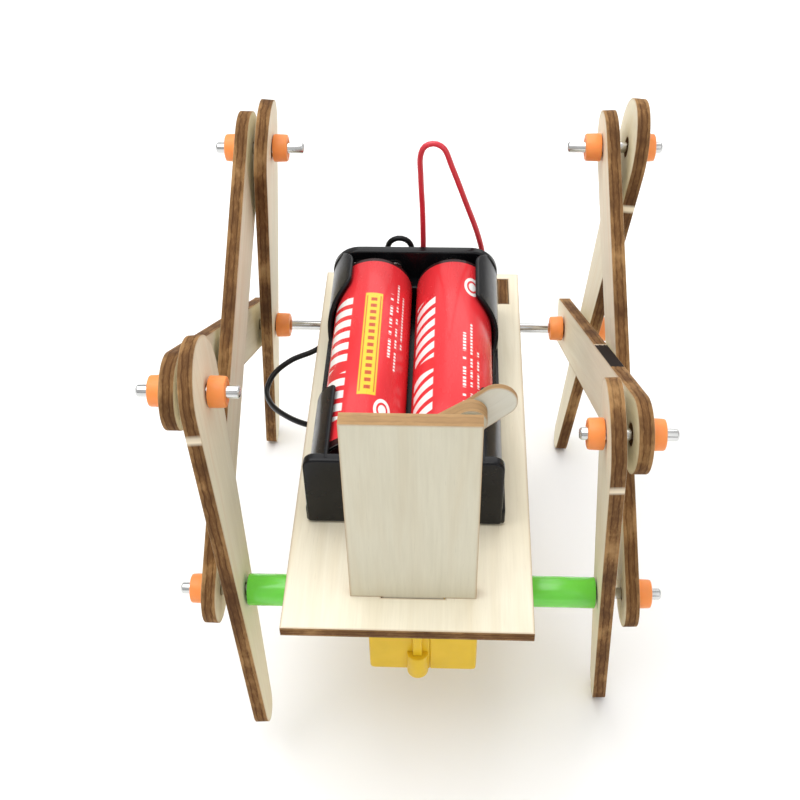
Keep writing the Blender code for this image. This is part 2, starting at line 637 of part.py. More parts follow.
CAN_Z = BOX_TOP - BOX_H / 2
RED_ROUTE = ((0.3, 78.85, 4.6), (0.3, 80.0, 4.9), (0.3, 81.3, 6.4), (0.4, 81.5, 9.0), (0.5, 81.3, 14.0),
             (0.4, 81.1, 22.0), (0.1, 81.0, 30.0), (0.1, 81.0, 34.6), (0.9, 81.0, 36.5), (2.6, 81.0, 37.1),
             (4.3, 81.0, 36.2), (5.9, 81.0, 32.2), (8.7, 81.1, 24.0), (11.0, 81.3, 17.0), (12.2, 81.8, 11.5),
             (12.4, 83.4, 6.5), (12.2, 87.0, 3.4), (11.6, 90.8, 1.7), (10.6, 92.4, -1.5), (9.4, 90.2, -4.9),
             (8.2, 85.0, -6.4), (7.3, 80.0, -8.8), (6.9, 77.2, -11.6), (6.8, 75.3, -13.0), (6.8, 73.25, -13.4))
BLACK_ROUTE = ((-1.5, 78.85, 5.2), (-1.5, 80.1, 5.5), (-1.4, 81.5, 7.2), (-1.6, 82.2, 11.4), (-2.4, 82.4, 13.8),
               (-4.2, 82.5, 14.6), (-6.0, 82.6, 13.7), (-6.8, 83.0, 11.2), (-7.1, 85.4, 5.8), (-7.6, 90.4, 2.0), (-8.6, 92.4, -1.4),
               (-10.4, 90.4, -4.4), (-13.4, 83.6, -4.6), (-17.0, 75.4, -4.2), (-21.0, 70.0, -4.2),
               (-25.8, 68.2, -5.4), (-29.2, 66.0, -7.2), (-30.3, 62.4, -8.2), (-28.8, 57.6, -7.4),
               (-25.2, 52.6, -5.6), (-20.8, 49.2, -4.4), (-15.6, 48.4, -4.6), (-11.8, 51.0, -6.6),
               (-10.2, 55.8, -9.6), (-9.4, 61.6, -12.2), (-7.4, 67.2, -13.3), (-5.2, 70.4, -13.4),
               (-3.4, 71.9, -13.4))


def main():
    clear_scene()
    mats = {
        "plywood": material("plywood", (0.80, 0.70, 0.53), 0.62),
        "birch": material("birch", (0.82, 0.79, 0.70), 0.55),
        "orange_plastic": material("orange_plastic", (0.95, 0.36, 0.10), 0.42),
        "green_plastic": material("green_plastic", (0.12, 0.68, 0.05), 0.25),
        "yellow_plastic": material("yellow_plastic", (0.90, 0.62, 0.02), 0.38),
        "black_plastic": material("black_plastic", (0.02, 0.02, 0.022), 0.30),
        "white_plastic": material("white_plastic", (0.85, 0.85, 0.82), 0.45),
        "strap": material("strap", (0.78, 0.80, 0.80), 0.20),
        "cell": material("cell", (0.75, 0.03, 0.04), 0.30),
        "steel": material("steel", (0.62, 0.62, 0.62), 0.25, 1.0),
        "brass": material("brass", (0.78, 0.58, 0.22), 0.35, 1.0),
        "red_pvc": material("red_pvc", (0.62, 0.03, 0.05), 0.35),
        "black_pvc": material("black_pvc", (0.015, 0.015, 0.015), 0.35),
    }
    plate = make_chassis(mats)
    make_holder(mats, plate)
    make_motor(mats, plate)

    points = {"left": linkage(CRANK_ANGLE), "right": linkage(CRANK_ANGLE + math.pi)}
    crank = make_crank(mats, plate, {side: p[0] for side, p in points.items()})
    for side in ("left", "right"):
        make_side(side, mats, plate, crank, points[side])

    ends = ROUND["left"]["P4out"][1] - 1.6, ROUND["right"]["P4out"][1] + 1.6
    mesh_object("rear_axle", rod_bm(ends[0], ends[1], (REAR_Y, REAR_Z)), mats["steel"],
                (0, REAR_Y, REAR_Z), plate)

    wire("red_lead", mats["red_pvc"], smooth_path(RED_ROUTE, 2.9 * LEAD_D), LEAD_D, plate, 2)
    wire("black_lead", mats["black_pvc"], smooth_path(BLACK_ROUTE, 2.9 * LEAD_D), LEAD_D, plate, 2)


main()
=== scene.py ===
"""Looks of the four-legged walking robot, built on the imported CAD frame.
Lengths are millimetres in the design frame (origin: middle of the base plate's top
front edge, +X right, +Y back, +Z up) until row() turns them into row-frame metres."""
import math

import bmesh
import bpy
from mathutils import Matrix, Vector


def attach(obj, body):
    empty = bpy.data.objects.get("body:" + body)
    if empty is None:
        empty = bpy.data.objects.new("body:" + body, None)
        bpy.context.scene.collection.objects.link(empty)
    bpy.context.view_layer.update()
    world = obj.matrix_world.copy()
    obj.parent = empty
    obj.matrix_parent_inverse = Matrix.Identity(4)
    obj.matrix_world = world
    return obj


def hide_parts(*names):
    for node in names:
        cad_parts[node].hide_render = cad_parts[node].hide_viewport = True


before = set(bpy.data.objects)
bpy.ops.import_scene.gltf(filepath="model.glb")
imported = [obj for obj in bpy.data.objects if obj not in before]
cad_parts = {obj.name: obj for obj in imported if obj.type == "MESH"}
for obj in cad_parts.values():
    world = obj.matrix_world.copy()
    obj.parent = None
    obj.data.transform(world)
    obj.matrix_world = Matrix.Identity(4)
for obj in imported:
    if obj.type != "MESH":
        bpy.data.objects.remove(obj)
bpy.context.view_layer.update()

MM = 0.001
EX, EY, EZ = Vector((1, 0, 0)), Vector((0, 1, 0)), Vector((0, 0, 1))
ALONG_X, ALONG_Y, ALONG_Z = 0, 1, 2
SIDES = (("left", -1), ("right", 1))
ORIGIN = Vector((-0.85, -47.13, 45.82))

# the linkage and the chassis, as in the CAD model
PLATE_W, PLATE_L, PLATE_T = 40.0, 90.0, 2.0
PANEL_W, PANEL_H, PANEL_T, PANEL_X, PANEL_Y, PANEL_TAB = 20.2, 39.3, 2.4, 0.8, 6.4, 10.0
BRACKET_X, BRACKET_T, BRACKET_R, BRACKET_TAB = 16.8, 2.0, 4.9, 7.8
AXIS_X, AXIS_Y, AXIS_Z = 2.2, 17.6, -13.2
CRANK_R, CRANK_ANGLE = 4.2, math.radians(131.6)
CRANK_DISC_R, SHAFT_R, SHAFT_FLAT, SHAFT_HALF = 7.4, 2.7, 1.85, 16.3
REAR_Y, REAR_Z = 84.3, -9.9
REAR = Vector((REAR_Y, REAR_Z))
LINK_F, LINK_L, LINK_B, LINK_A = 38.8, 70.3, 81.4, 44.8
FRONT_FOOT, REAR_FOOT = 29.5, 35.9
LEG_T, HEAD_R, FOOT_R = 2.4, 8.8, 3.2
HOLD_X, HOLD_Y0, HOLD_Y1, HOLD_W, HOLD_H = -1.0, 21.5, 78.5, 32.1, 15.5
CELL_R, CELL_PITCH, CELL_Z = 7.15, 15.2, 9.0
BOX_W, BOX_H, BOX_Y0, BOX_Y1, BOX_TOP, SPLIT_X = 18.6, 22.2, 8.9, 46.0, -2.3, 3.4
LEAD_D = 1.1
CAN_END = 66.0  # rear end of the motor can
SHELL = 1.8  # wall thickness of the holder's ends and the gearbox
CELL_HALF = 24.3  # half the length of a cell without its nub
GAP = 0.3  # clearance between neighbouring CAD parts
SEAT = 0.02  # the panel and the brackets stand this close to the plate
SLOT_PLAY = 0.1  # clearance round a tab in its slot
TIGHT_HOLE, OPEN_HOLE = 1.1, 1.8  # hole radii round the 2 mm rods, closed and opened pivots
SNUG = 0.15  # how far a bush is pushed towards its board
PADDLE_T = 0.9  # the thin strip behind the panel
FRONT_EDGE = -1  # a leg's front edge lies on the negative side of local y

CAMERA_SPOT, CAMERA_TURN, LENS = (6.11, -107.7, 155.42), (3.32, 44.23, -1.42), 53.5   # turn in degrees

# middle planes of the boards at their two pivots: front leg, link, bar, rear leg
LAYOUT = {
    "left": {"F": (-29.45, -32.85), "L": (-36.7, -35.8), "B": (-33.75, -32.3), "A": (-28.8, -32.4)},
    "right": {"F": (33.85, 31.6), "L": (35.45, 31.2), "B": (38.15, 34.75), "A": (39.2, 35.1)},
}
# where the crank pins, green tubes, rods (P2, P3) and bushes start and end across the toy: P1 at the
# pins, P2 at the front legs' heads, P3 at the rear legs' heads, P4 on the axle
ROUND = {
    "left": {"pin": -39.5, "tube": -27.8, "P1": (-35.2, -37.7),
             "P2": (-26.4, -42.9), "P2in": (-31.2, -28.5), "P2out": (-38.15, -40.8),
             "P3": (-21.6, -38.1), "P3in": (-27.15, -24.6), "P3out": (-33.8, -36.3),
             "P4in": (-30.75, -28.0), "P4out": (-37.25, -39.8)},
    "right": {"pin": 43.9, "tube": 32.25, "P1": (39.7, 42.1),
              "P2": (26.3, 41.7), "P2in": (30.0, 27.5), "P2out": (37.05, 39.6),
              "P3": (27.2, 44.6), "P3in": (33.2, 30.4), "P3out": (40.85, 43.2),
              "P4in": (29.6, 27.0), "P4out": (36.75, 39.2)},
}


def row(p):
    return (Vector(p) + ORIGIN) * MM


DESIGN = Matrix.Translation(row((0, 0, 0)))


def placed(name, data):
    """A new object in the scene."""
    obj = bpy.data.objects.new(name, data)
    bpy.context.scene.collection.objects.link(obj)
    return obj


# ---- node helpers
class Nodes:
    """Short hand for building a material's node tree."""

    def __init__(self, name, rough=0.5, metal=0.0, **sockets):
        self.mat = bpy.data.materials.new(name)
        self.mat.use_nodes = True
        self.tree = self.mat.node_tree
        self.bsdf = next(n for n in self.tree.nodes if n.type == "BSDF_PRINCIPLED")
        self.bsdf.inputs["Roughness"].default_value = rough
        self.bsdf.inputs["Metallic"].default_value = metal
        for key, value in sockets.items():
            self.bsdf.inputs[key.replace("_", " ")].default_value = value
        self.place = self.add("TexCoord").outputs["Object"]
        self.shift = None

    def link(self, a, b):
        self.tree.links.new(a, b)

    def add(self, kind, **values):
        """A new node with the named inputs set."""
        node = self.tree.nodes.new("ShaderNode" + kind)
        for key, value in values.items():
            node.inputs[key.replace("_", " ")].default_value = value
        return node

    def noise(self, sx, sy, sz, detail, rough, distort=0.0, offset=(0, 0, 0)):
        """Noise over object millimetres times a per-axis scale, moved by the board's shift."""
        spot = self.add("Mapping", Scale=(sx / MM, sy / MM, sz / MM), Location=offset)
        self.link(self.place, spot.inputs["Vector"])
        if self.shift:
            at = self.add("VectorMath")
            self.link(spot.outputs[0], at.inputs[0])
            self.link(self.shift, at.inputs[1])
            spot = at
        node = self.add("TexNoise", Scale=1.0, Detail=detail, Roughness=rough, Distortion=distort)
        self.link(spot.outputs[0], node.inputs["Vector"])
        return node.outputs["Fac"]

    def ramp(self, fac, stops):
        node = self.add("ValToRGB")
        marks = node.color_ramp.elements
        while len(marks) < len(stops):
            marks.new(0.5)
        for mark, (at, color) in zip(marks, stops):
            mark.position = at
            mark.color = (*color, 1.0)
        self.link(fac, node.inputs["Fac"])
        return node.outputs["Color"]

    def grey(self, fac, low, high, a=0.0, b=1.0):
        node = self.add("MapRange", From_Min=low, From_Max=high, To_Min=a, To_Max=b)
        self.link(fac, node.inputs["Value"])
        return node.outputs["Result"]

    def math(self, kind, a, b=None):
        node = self.add("Math")
        node.operation = kind
        for i, value in enumerate((a, b)):
            if value is None:
                continue
            if isinstance(value, (int, float)):
                node.inputs[i].default_value = value
            else:
                self.link(value, node.inputs[i])
        return node.outputs[0]

    def times(self, a, b):
        return self.math("MULTIPLY", a, b)

    def mix(self, fac, a, b):
        node = self.add("Mix")
        node.data_type = "RGBA"
        for slot, value in ((0, fac), (6, a), (7, b)):
            if isinstance(value, (int, float)):
                node.inputs[slot].default_value = value
            elif isinstance(value, tuple):
                node.inputs[slot].default_value = (*value, 1.0)
            else:
                self.link(value, node.inputs[slot])
        return node.outputs[2]

    def attribute(self, name):
        node = self.add("Attribute")
        node.attribute_name = name
        return node.outputs["Fac"]

    def axis(self, which):
        node = self.add("SeparateXYZ")
        self.link(self.place, node.inputs[0])
        return node.outputs[which]

    def color(self, socket):
        self.link(socket, self.bsdf.inputs["Base Color"])

    def rough(self, socket):
        self.link(socket, self.bsdf.inputs["Roughness"])

    def bump(self, height, strength, distance_mm):
        node = self.add("Bump", Strength=strength, Distance=distance_mm * MM)
        self.link(height, node.inputs["Height"])
        self.link(node.outputs["Normal"], self.bsdf.inputs["Normal"])


# ---- materials
def plywood(name, thickness, pale, mid, warm, char, fresh):
    """Laser-cut three-ply: local x runs along the board's grain and z through it."""
    n = Nodes(name, 0.6, Specular_IOR_Level=0.13)
    seed = n.attribute("seed")
    shift = n.add("CombineXYZ")
    n.link(n.times(seed, 37.0), shift.inputs[0])
    n.link(n.times(seed, 61.0), shift.inputs[1])
    n.shift = shift.outputs[0]

    broad = n.noise(0.02, 0.24, 0.1, 3, 0.55, 0.5)
    fibre = n.noise(0.12, 2.6, 0.3, 5, 0.62)
    pores = n.noise(0.30, 6.0, 0.5, 2, 0.5)
    blotch = n.noise(0.07, 0.10, 0.1, 2, 0.5)

    face = n.ramp(broad, [(0.25, mid), (0.5, pale), (0.75, warm)])
    face = n.mix(n.grey(fibre, 0.35, 0.75, 0.0, 0.20), face, tuple(c * 0.72 for c in warm))
    face = n.mix(n.grey(pores, 0.68, 0.82, 0.0, 0.28), face, tuple(c * 0.45 for c in warm))
    face = n.mix(n.grey(blotch, 0.45, 0.8, 0.0, 0.22), face, tuple(c * 0.85 for c in mid))

    # scorched wall: two outer plies, dark glue lines and a darker core
    through = n.grey(n.axis(2), -thickness / 2 * MM, thickness / 2 * MM)
    tan, brown, glue = (0.34, 0.192, 0.079), (0.190, 0.092, 0.032), (0.095, 0.041, 0.014)
    wander = n.noise(0.35, 0.35, 0.2, 3, 0.6)
    through = n.math("ADD", through, n.grey(wander, 0.25, 0.75, -0.07, 0.07))
    plies = n.ramp(through, [(0.0, tan), (0.22, (0.28, 0.148, 0.057)), (0.29, glue), (0.36, brown),
                             (0.50, (0.225, 0.112, 0.041)), (0.64, brown), (0.71, glue),
                             (0.78, (0.28, 0.148, 0.057)), (1.0, tan)])
    stripes = n.noise(0.55, 0.55, 3.6, 6, 0.72)
    soot = n.noise(0.085, 0.085, 0.12, 5, 0.62)
    wall = n.mix(n.grey(stripes, 0.46, 0.72, 0.0, 0.62), plies, (0.075, 0.030, 0.011))
    wall = n.mix(n.grey(stripes, 0.47, 0.30, 0.0, 0.45), wall, (0.42, 0.240, 0.100))
    wall = n.mix(fresh, wall, (0.56, 0.365, 0.185))
    wall = n.mix(n.grey(soot, 0.43, 0.62, 0.0, char), wall, (0.062, 0.025, 0.010))
    wall = n.mix(n.grey(soot, 0.45, 0.30, 0.0, 0.60), wall, (0.48, 0.285, 0.120))
    wall = n.mix(n.attribute("pale"), wall, (0.85, 0.74, 0.56))
    ragged = n.math("ADD", n.attribute("black"), n.grey(stripes, 0.3, 0.7, -0.55, 0.25))
    wall = n.mix(n.grey(ragged, 0.25, 0.6), wall, (0.014, 0.009, 0.007))

    cut = n.attribute("cut")
    halo = n.mix(n.times(n.grey(cut, 0.0, 0.95), 0.55), face, (0.42, 0.25, 0.11))
    n.color(n.mix(n.grey(cut, 0.80, 0.97), halo, wall))
    n.rough(n.grey(cut, 0.5, 1.0, 0.52, 0.78))
    grain = n.math("ADD", n.times(fibre, 0.6), n.times(pores, -0.4))
    ridged = n.times(stripes, 1.6)
    lift = n.add("Mix")
    n.link(n.grey(cut, 0.8, 0.97), lift.inputs[0])
    n.link(grain, lift.inputs[2])
    n.link(ridged, lift.inputs[3])
    n.bump(lift.outputs[0], 0.35, 0.06)
    return n.mat


def plastic(name, color, rough, tint=0.12, grain=0.02, coat=0.0, sss=0.0, spec=0.5):
    """Moulded plastic with slight colour drift, fine surface grain and scuffed gloss."""
    n = Nodes(name, rough, Specular_IOR_Level=spec, Coat_Weight=coat, Coat_Roughness=0.12)
    if sss:
        n.bsdf.inputs["Subsurface Weight"].default_value = sss
        n.bsdf.inputs["Subsurface Radius"].default_value = tuple(max(c, 0.05) for c in color)
        n.bsdf.inputs["Subsurface Scale"].default_value = 0.0012
    drift = n.noise(0.13, 0.13, 0.13, 3, 0.55)
    dark = tuple(c * (1.0 - tint) for c in color)
    light = tuple(min(1.0, c * (1.0 + tint * 0.8) + 0.004) for c in color)
    n.color(n.ramp(drift, [(0.3, dark), (0.5, color), (0.72, light)]))
    scuff = n.noise(0.9, 0.9, 0.9, 5, 0.65)
    n.rough(n.grey(scuff, 0.3, 0.75, rough * 0.85, rough * 1.25))
    n.bump(n.noise(3.0, 3.0, 3.0, 3, 0.5), 0.25, grain)
    return n.mat


def metal(name, color, rough, along=(1.0, 1.0, 1.0)):
    """Drawn or turned metal: fine streaks set by the per-axis scale `along`."""
    n = Nodes(name, rough, 1.0)
    streak = n.noise(*(4.0 * a for a in along), 4, 0.6)
    cloud = n.noise(0.25, 0.25, 0.25, 3, 0.5)
    dark = tuple(c * 0.72 for c in color)
    n.color(n.mix(n.grey(streak, 0.35, 0.75, 0.0, 0.35), n.ramp(cloud, [(0.3, dark), (0.62, color)]), dark))
    n.rough(n.grey(streak, 0.3, 0.8, rough * 0.7, rough * 1.6))
    n.bump(streak, 0.08, 0.012)
    return n.mat


def cell_sleeve(name, flip):
    """Printed foil sleeve: local z along the cell, local x up. Plain bars, no lettering."""
    n = Nodes(name, 0.28, Specular_IOR_Level=0.22, Coat_Weight=0.08, Coat_Roughness=0.10)
    along = n.math("DIVIDE", n.axis(2), MM)
    turn = n.times(n.math("ARCTAN2", n.axis(1), n.axis(0)), CELL_R)     # arc length, mm

    def band(value, low, high, soft=0.10):
        up = n.grey(value, low - soft, low + soft)
        down = n.grey(value, high - soft, high + soft, 1.0, 0.0)
        return n.times(up, down)

    def box(a0, a1, t0, t1):
        return n.times(band(along, a0, a1), band(turn, *sorted((t0 * flip, t1 * flip))))

    drift = n.noise(0.2, 0.2, 0.05, 3, 0.5)
    out = n.ramp(drift, [(0.3, (0.64, 0.026, 0.034)), (0.7, (0.76, 0.038, 0.046))])
    white, yellow, brick = (0.86, 0.84, 0.82), (0.86, 0.55, 0.04), (0.50, 0.09, 0.03)
    # slanted white bars, a yellow panel with red ticks, rows of fine dashes and a ring
    slant = n.math("ADD", along, n.times(turn, 0.35 * flip))
    bars = n.math("GREATER_THAN", n.math("PINGPONG", slant, 1.55), 0.62)
    for a0, a1 in ((-18.5, -7.0), (-4.5, 13.5)) if flip > 0 else ((-14.0, 3.0), (6.0, 17.5)):
        out = n.mix(n.times(bars, box(a0, a1, -8.6, -3.5)), out, white)
    if flip > 0:
        out = n.mix(box(-13.5, 13.5, -1.0, 2.2), out, yellow)
        ticks = n.math("GREATER_THAN", n.math("PINGPONG", along, 0.9), 0.42)
        out = n.mix(n.times(ticks, box(-12.2, 12.2, 0.05, 1.2)), out, brick)
        for low, high in ((-0.75, -0.55), (1.75, 1.95)):
            out = n.mix(box(-12.8, 12.8, low, high), out, brick)
    shift = 0.6 if flip > 0 else -1.4
    for t0, size, a0, a1 in ((3.2, 0.55, -3.0, 14.5), (4.6, 0.40, -6.0, 18.0), (6.0, 0.40, 1.0, 15.5)):
        spread = n.noise(0.02, 0.02, 0.55, 1, 0.5, offset=(t0, 0.0, t0))
        dash = n.math("GREATER_THAN", n.math("PINGPONG", along, 0.42), 0.13)
        marks = n.times(dash, n.math("GREATER_THAN", spread, 0.42))
        out = n.mix(n.times(marks, box(a0, a1, t0 + shift, t0 + size + shift)), out, white)
    oval = n.math("ADD", n.math("POWER", n.math("DIVIDE", n.math("SUBTRACT", along, -16.5), 2.6), 2.0),
                  n.math("POWER", n.math("DIVIDE", n.math("SUBTRACT", turn, 3.6 * flip), 1.6), 2.0))
    out = n.mix(n.grey(oval, 1.05, 0.95), out, white)
    out = n.mix(n.grey(oval, 0.50, 0.42), out, (0.72, 0.035, 0.042))
    out = n.mix(n.grey(oval, 0.24, 0.18), out, white)
    # dark printed ends and the bare crimped rims
    out = n.mix(n.grey(n.math("ABSOLUTE", along), 23.0, 23.15), out, (0.035, 0.012, 0.012))
    rim = n.grey(n.math("ABSOLUTE", along), 24.15, 24.25)
    n.color(n.mix(rim, out, (0.62, 0.60, 0.57)))
    n.link(rim, n.bsdf.inputs["Metallic"])
    n.rough(n.grey(n.noise(0.5, 0.5, 0.12, 4, 0.6), 0.3, 0.75, 0.17, 0.34))
    n.bump(n.noise(0.5, 0.5, 0.08, 3, 0.5), 0.18, 0.05)
    return n.mat


MAT, SLOT = {}, {}


def material(name, slot, maker, *numbers, **more):
    MAT[name], SLOT[name] = maker(name, *numbers, **more), slot


material("ply_leg", "plywood", plywood, LEG_T, (0.83, 0.765, 0.585), (0.75, 0.68, 0.50),
         (0.78, 0.67, 0.475), 0.75, 0.0)
material("ply_plate", "plywood", plywood, PLATE_T, (0.88, 0.82, 0.66), (0.80, 0.73, 0.56),
         (0.83, 0.75, 0.57), 0.75, 0.0)
material("ply_panel", "plywood", plywood, PANEL_T, (0.70, 0.66, 0.52), (0.64, 0.60, 0.46),
         (0.66, 0.60, 0.45), 0.12, 0.50)
material("ply_strip", "birch", plywood, PADDLE_T, (0.72, 0.70, 0.60), (0.66, 0.63, 0.52),
         (0.68, 0.63, 0.50), 0.10, 0.45)
material("orange", "orange_plastic", plastic, (0.90, 0.295, 0.070), 0.45, 0.10, 0.02, sss=0.25)
material("green", "green_plastic", plastic, (0.150, 0.66, 0.055), 0.22, 0.10, 0.01, coat=0.3, sss=0.2)
material("yellow", "yellow_plastic", plastic, (0.74, 0.48, 0.016), 0.38, 0.08, 0.015, sss=0.1, spec=0.3)
material("black", "black_plastic", plastic, (0.004, 0.004, 0.005), 0.24, 0.25, 0.010, coat=0.04, spec=0.22)
material("white", "white_plastic", plastic, (0.76, 0.75, 0.70), 0.42, 0.05, 0.015, sss=0.1)
material("clear_strap", "strap", plastic, (0.70, 0.73, 0.72), 0.18, 0.06, 0.03, coat=0.4)
material("red_pvc", "red_pvc", plastic, (0.66, 0.030, 0.050), 0.24, 0.12, 0.01, coat=0.25)
material("black_pvc", "black_pvc", plastic, (0.006, 0.006, 0.007), 0.32, 0.2, 0.01, coat=0.05, spec=0.2)
material("rod", "steel", metal, (0.72, 0.72, 0.71), 0.13, (1.0, 1.0, 0.05))
material("can", "steel", metal, (0.50, 0.50, 0.49), 0.27, (1.0, 0.05, 1.0))
material("nickel", "steel", metal, (0.68, 0.66, 0.60), 0.24)
material("brass", "brass", metal, (0.72, 0.50, 0.20), 0.30)
material("sleeve_left", "cell", cell_sleeve, 1)
material("sleeve_right", "cell", cell_sleeve, -1)


# ---- shape helpers
def arc(cx, cy, radius, a0, a1, count):
    """Points along an arc, angles in degrees, both ends included."""
    out = []
    for i in range(count):
        a = math.radians(a0 + (a1 - a0) * i / (count - 1))
        out.append((cx + radius * math.cos(a), cy + radius * math.sin(a)))
    return out


def circle(cx, cy, radius, count=48):
    return arc(cx, cy, radius, 0.0, 360.0 - 360.0 / count, count)


def rounded(x0, y0, x1, y1, radii, count=9):
    a, b, c, d = radii
    return (arc(x0 + a, y0 + a, a, 180, 270, count) + arc(x1 - b, y0 + b, b, 270, 360, count)
            + arc(x1 - c, y1 - c, c, 0, 90, count) + arc(x0 + d, y1 - d, d, 90, 180, count))


def chamfered(points, cut=0.5):
    """Every corner of a polygon swapped for a short flat."""
    out = []
    for i, p in enumerate(points):
        p = Vector(p)
        for q in (points[i - 1], points[(i + 1) % len(points)]):
            step = Vector(q) - p
            out.append(tuple(p + step.normalized() * min(cut, step.length * 0.3)))
    return out


def tangent_hull(s0, r0, s1, r1, count=40):
    """Outline round two circles on the s axis, r0 at s0 and r1 at s1 > s0."""
    lean = math.degrees(math.asin((r0 - r1) / (s1 - s0)))
    return arc(s0, 0, r0, 90 - lean, 270 + lean, count) + arc(s1, 0, r1, -90 + lean, 90 - lean, count)


def finish_piece(name, bm, mat, body, nodes, matrix=DESIGN, angle=35.0):
    """Turn a bmesh in local millimetres into a piece that rides on a body."""
    bmesh.ops.scale(bm, verts=bm.verts, vec=(MM, MM, MM))
    mesh = bpy.data.meshes.new(name)
    bm.to_mesh(mesh)
    bm.free()
    mesh.materials.append(MAT[mat])
    mesh.shade_smooth()
    mesh.set_sharp_from_angle(angle=math.radians(angle))
    obj = placed(name, mesh)
    obj.matrix_world = matrix
    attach(obj, body)
    if nodes:
        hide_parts(*nodes)
    return obj


def basis(origin, ex, ey, ez):
    """Local axes ex, ey, ez (design frame, unit) at a design-frame point."""
    m = Matrix.Identity(4)
    for i, axis in enumerate((ex, ey, ez)):
        for j in range(3):
            m[j][i] = axis[j]
    m.translation = row(origin)
    return m


def spaced(loop, step, keep=20.0, clear=1.0):
    """The loop with points every `step`, its corners kept and given clear sides."""
    out = []
    count = len(loop)
    pts = [Vector(p) for p in loop]

    def is_corner(i):
        a, b = pts[i] - pts[i - 1], pts[(i + 1) % count] - pts[i]
        return abs(a.angle_signed(b)) > math.radians(keep)

    corners = [is_corner(i) for i in range(count)]
    for i in range(count):
        p, q = pts[i], pts[(i + 1) % count]
        out.append(tuple(p))
        length = (q - p).length
        lo = clear if corners[i] else 0.0
        hi = length - (clear if corners[(i + 1) % count] else 0.0)
        parts = max(1, round(length / step))
        for k in range(1, parts):
            s = length * k / parts
            if lo <= s <= hi:
                out.append(tuple(p.lerp(q, s / length)))
    return out


def normals(loop):
    """Miter vectors of a closed loop, to the right of its path."""
    out = []
    for i, p in enumerate(loop):
        p, a, b = Vector(p), Vector(loop[i - 1]), Vector(loop[(i + 1) % len(loop)])
        u, v = (p - a).normalized(), (b - p).normalized()
        n1, n2 = Vector((u.y, -u.x)), Vector((v.y, -v.x))
        m = n1 + n2
        out.append(m / max(m.length_squared / 2, 0.3))
    return out


def laser_board(name, loops, thickness, mat, body, nodes, matrix, seed, pale=(), black=(), inset=0.5):
    """Laser-cut board: loops lie in local x and y, z goes through it. Every rim gets a
    small charred round and a scorched halo; pale and black are (x, y, radius) marks."""
    half = thickness / 2
    steps = [(inset, half, 0.0), (0.14, half, 0.62), (0.04, half - 0.025, 0.88), (0.0, half - 0.11, 1.0)]
    rings = steps + [(0.0, 0.0, 1.0)] + [(d, -z, c) for d, z, c in reversed(steps)]
    bm = bmesh.new()
    cut = bm.verts.layers.float.new("cut")
    tone = bm.verts.layers.float.new("seed")
    marks = {"pale": bm.verts.layers.float.new("pale"), "black": bm.verts.layers.float.new("black")}
    top, bottom = [], []
    for index, loop in enumerate(loops):
        loop = spaced(loop, 0.7 if index == 0 else 0.5)
        area = sum(a[0] * b[1] - b[0] * a[1] for a, b in zip(loop, loop[1:] + loop[:1]))
        if (area < 0) == (index == 0):
            loop = loop[::-1]
        # outer loops run anticlockwise, holes clockwise, so the solid is always on the left
        away = normals(loop)
        sheets = []
        for depth, z, burnt in rings:
            sheet = []
            for p, m in zip(loop, away):
                v = bm.verts.new((p[0] - m.x * depth, p[1] - m.y * depth, z))
                v[cut] = burnt
                sheet.append(v)
            sheets.append(sheet)
        for a, b in zip(sheets, sheets[1:]):
            for i in range(len(loop)):
                j = (i + 1) % len(loop)
                bm.faces.new((a[i], b[i], b[j], a[j]))
        top.append(sheets[0])
        bottom.append(sheets[-1])
    for side, flip in ((top, False), (bottom, True)):
        edges = [bm.edges.get((r[i - 1], r[i])) for r in side for i in range(len(r))]
        fill = bmesh.ops.triangle_fill(bm, use_beauty=True, use_dissolve=True, edges=edges)
        for f in [g for g in fill["geom"] if isinstance(g, bmesh.types.BMFace)]:
            f.normal_update()
            if (f.normal.z < 0) != flip:
                f.normal_flip()
    for v in bm.verts:
        v[tone] = seed
        for kind, spots in (("pale", pale), ("black", black)):
            for x, y, r in spots:
                d = math.hypot(v.co.x - x, v.co.y - y)
                v[marks[kind]] = max(v[marks[kind]], min(1.0, max(0.0, (r - d) / (0.35 * r))))
    return finish_piece(name, bm, mat, body, nodes, matrix, 30.0)


def bridge(bm, a, b):
    """Quads between two closed rings of as many points."""
    for i in range(len(a)):
        j = (i + 1) % len(a)
        bm.faces.new((a[i], a[j], b[j], b[i]))


def lathe(name, profile, base, direction, mat, body, nodes, count=48):
    """Turned piece: (along, radius) points about an axis that starts at base."""
    ez, ex = Vector(direction), EZ
    ey = ez.cross(ex)
    bm = bmesh.new()
    rings = []
    for along, radius in profile:
        if radius < 1e-6:
            rings.append([bm.verts.new((0, 0, along))])
            continue
        rings.append([bm.verts.new((radius * math.cos(2 * math.pi * i / count),
                                    radius * math.sin(2 * math.pi * i / count), along))
                      for i in range(count)])
    pairs = list(zip(rings, rings[1:]))
    if len(rings[0]) > 1:
        pairs.append((rings[-1], rings[0]))
    for low, high in pairs:
        if len(low) == len(high):
            bridge(bm, low, high)
            continue
        for i in range(count):
            j = (i + 1) % count
            bm.faces.new((low[0], high[i], high[j]) if len(low) == 1 else (low[i], low[j], high[0]))
    bmesh.ops.recalc_face_normals(bm, faces=bm.faces)
    return finish_piece(name, bm, mat, body, nodes, basis(base, ex, ey, ez), 40.0)


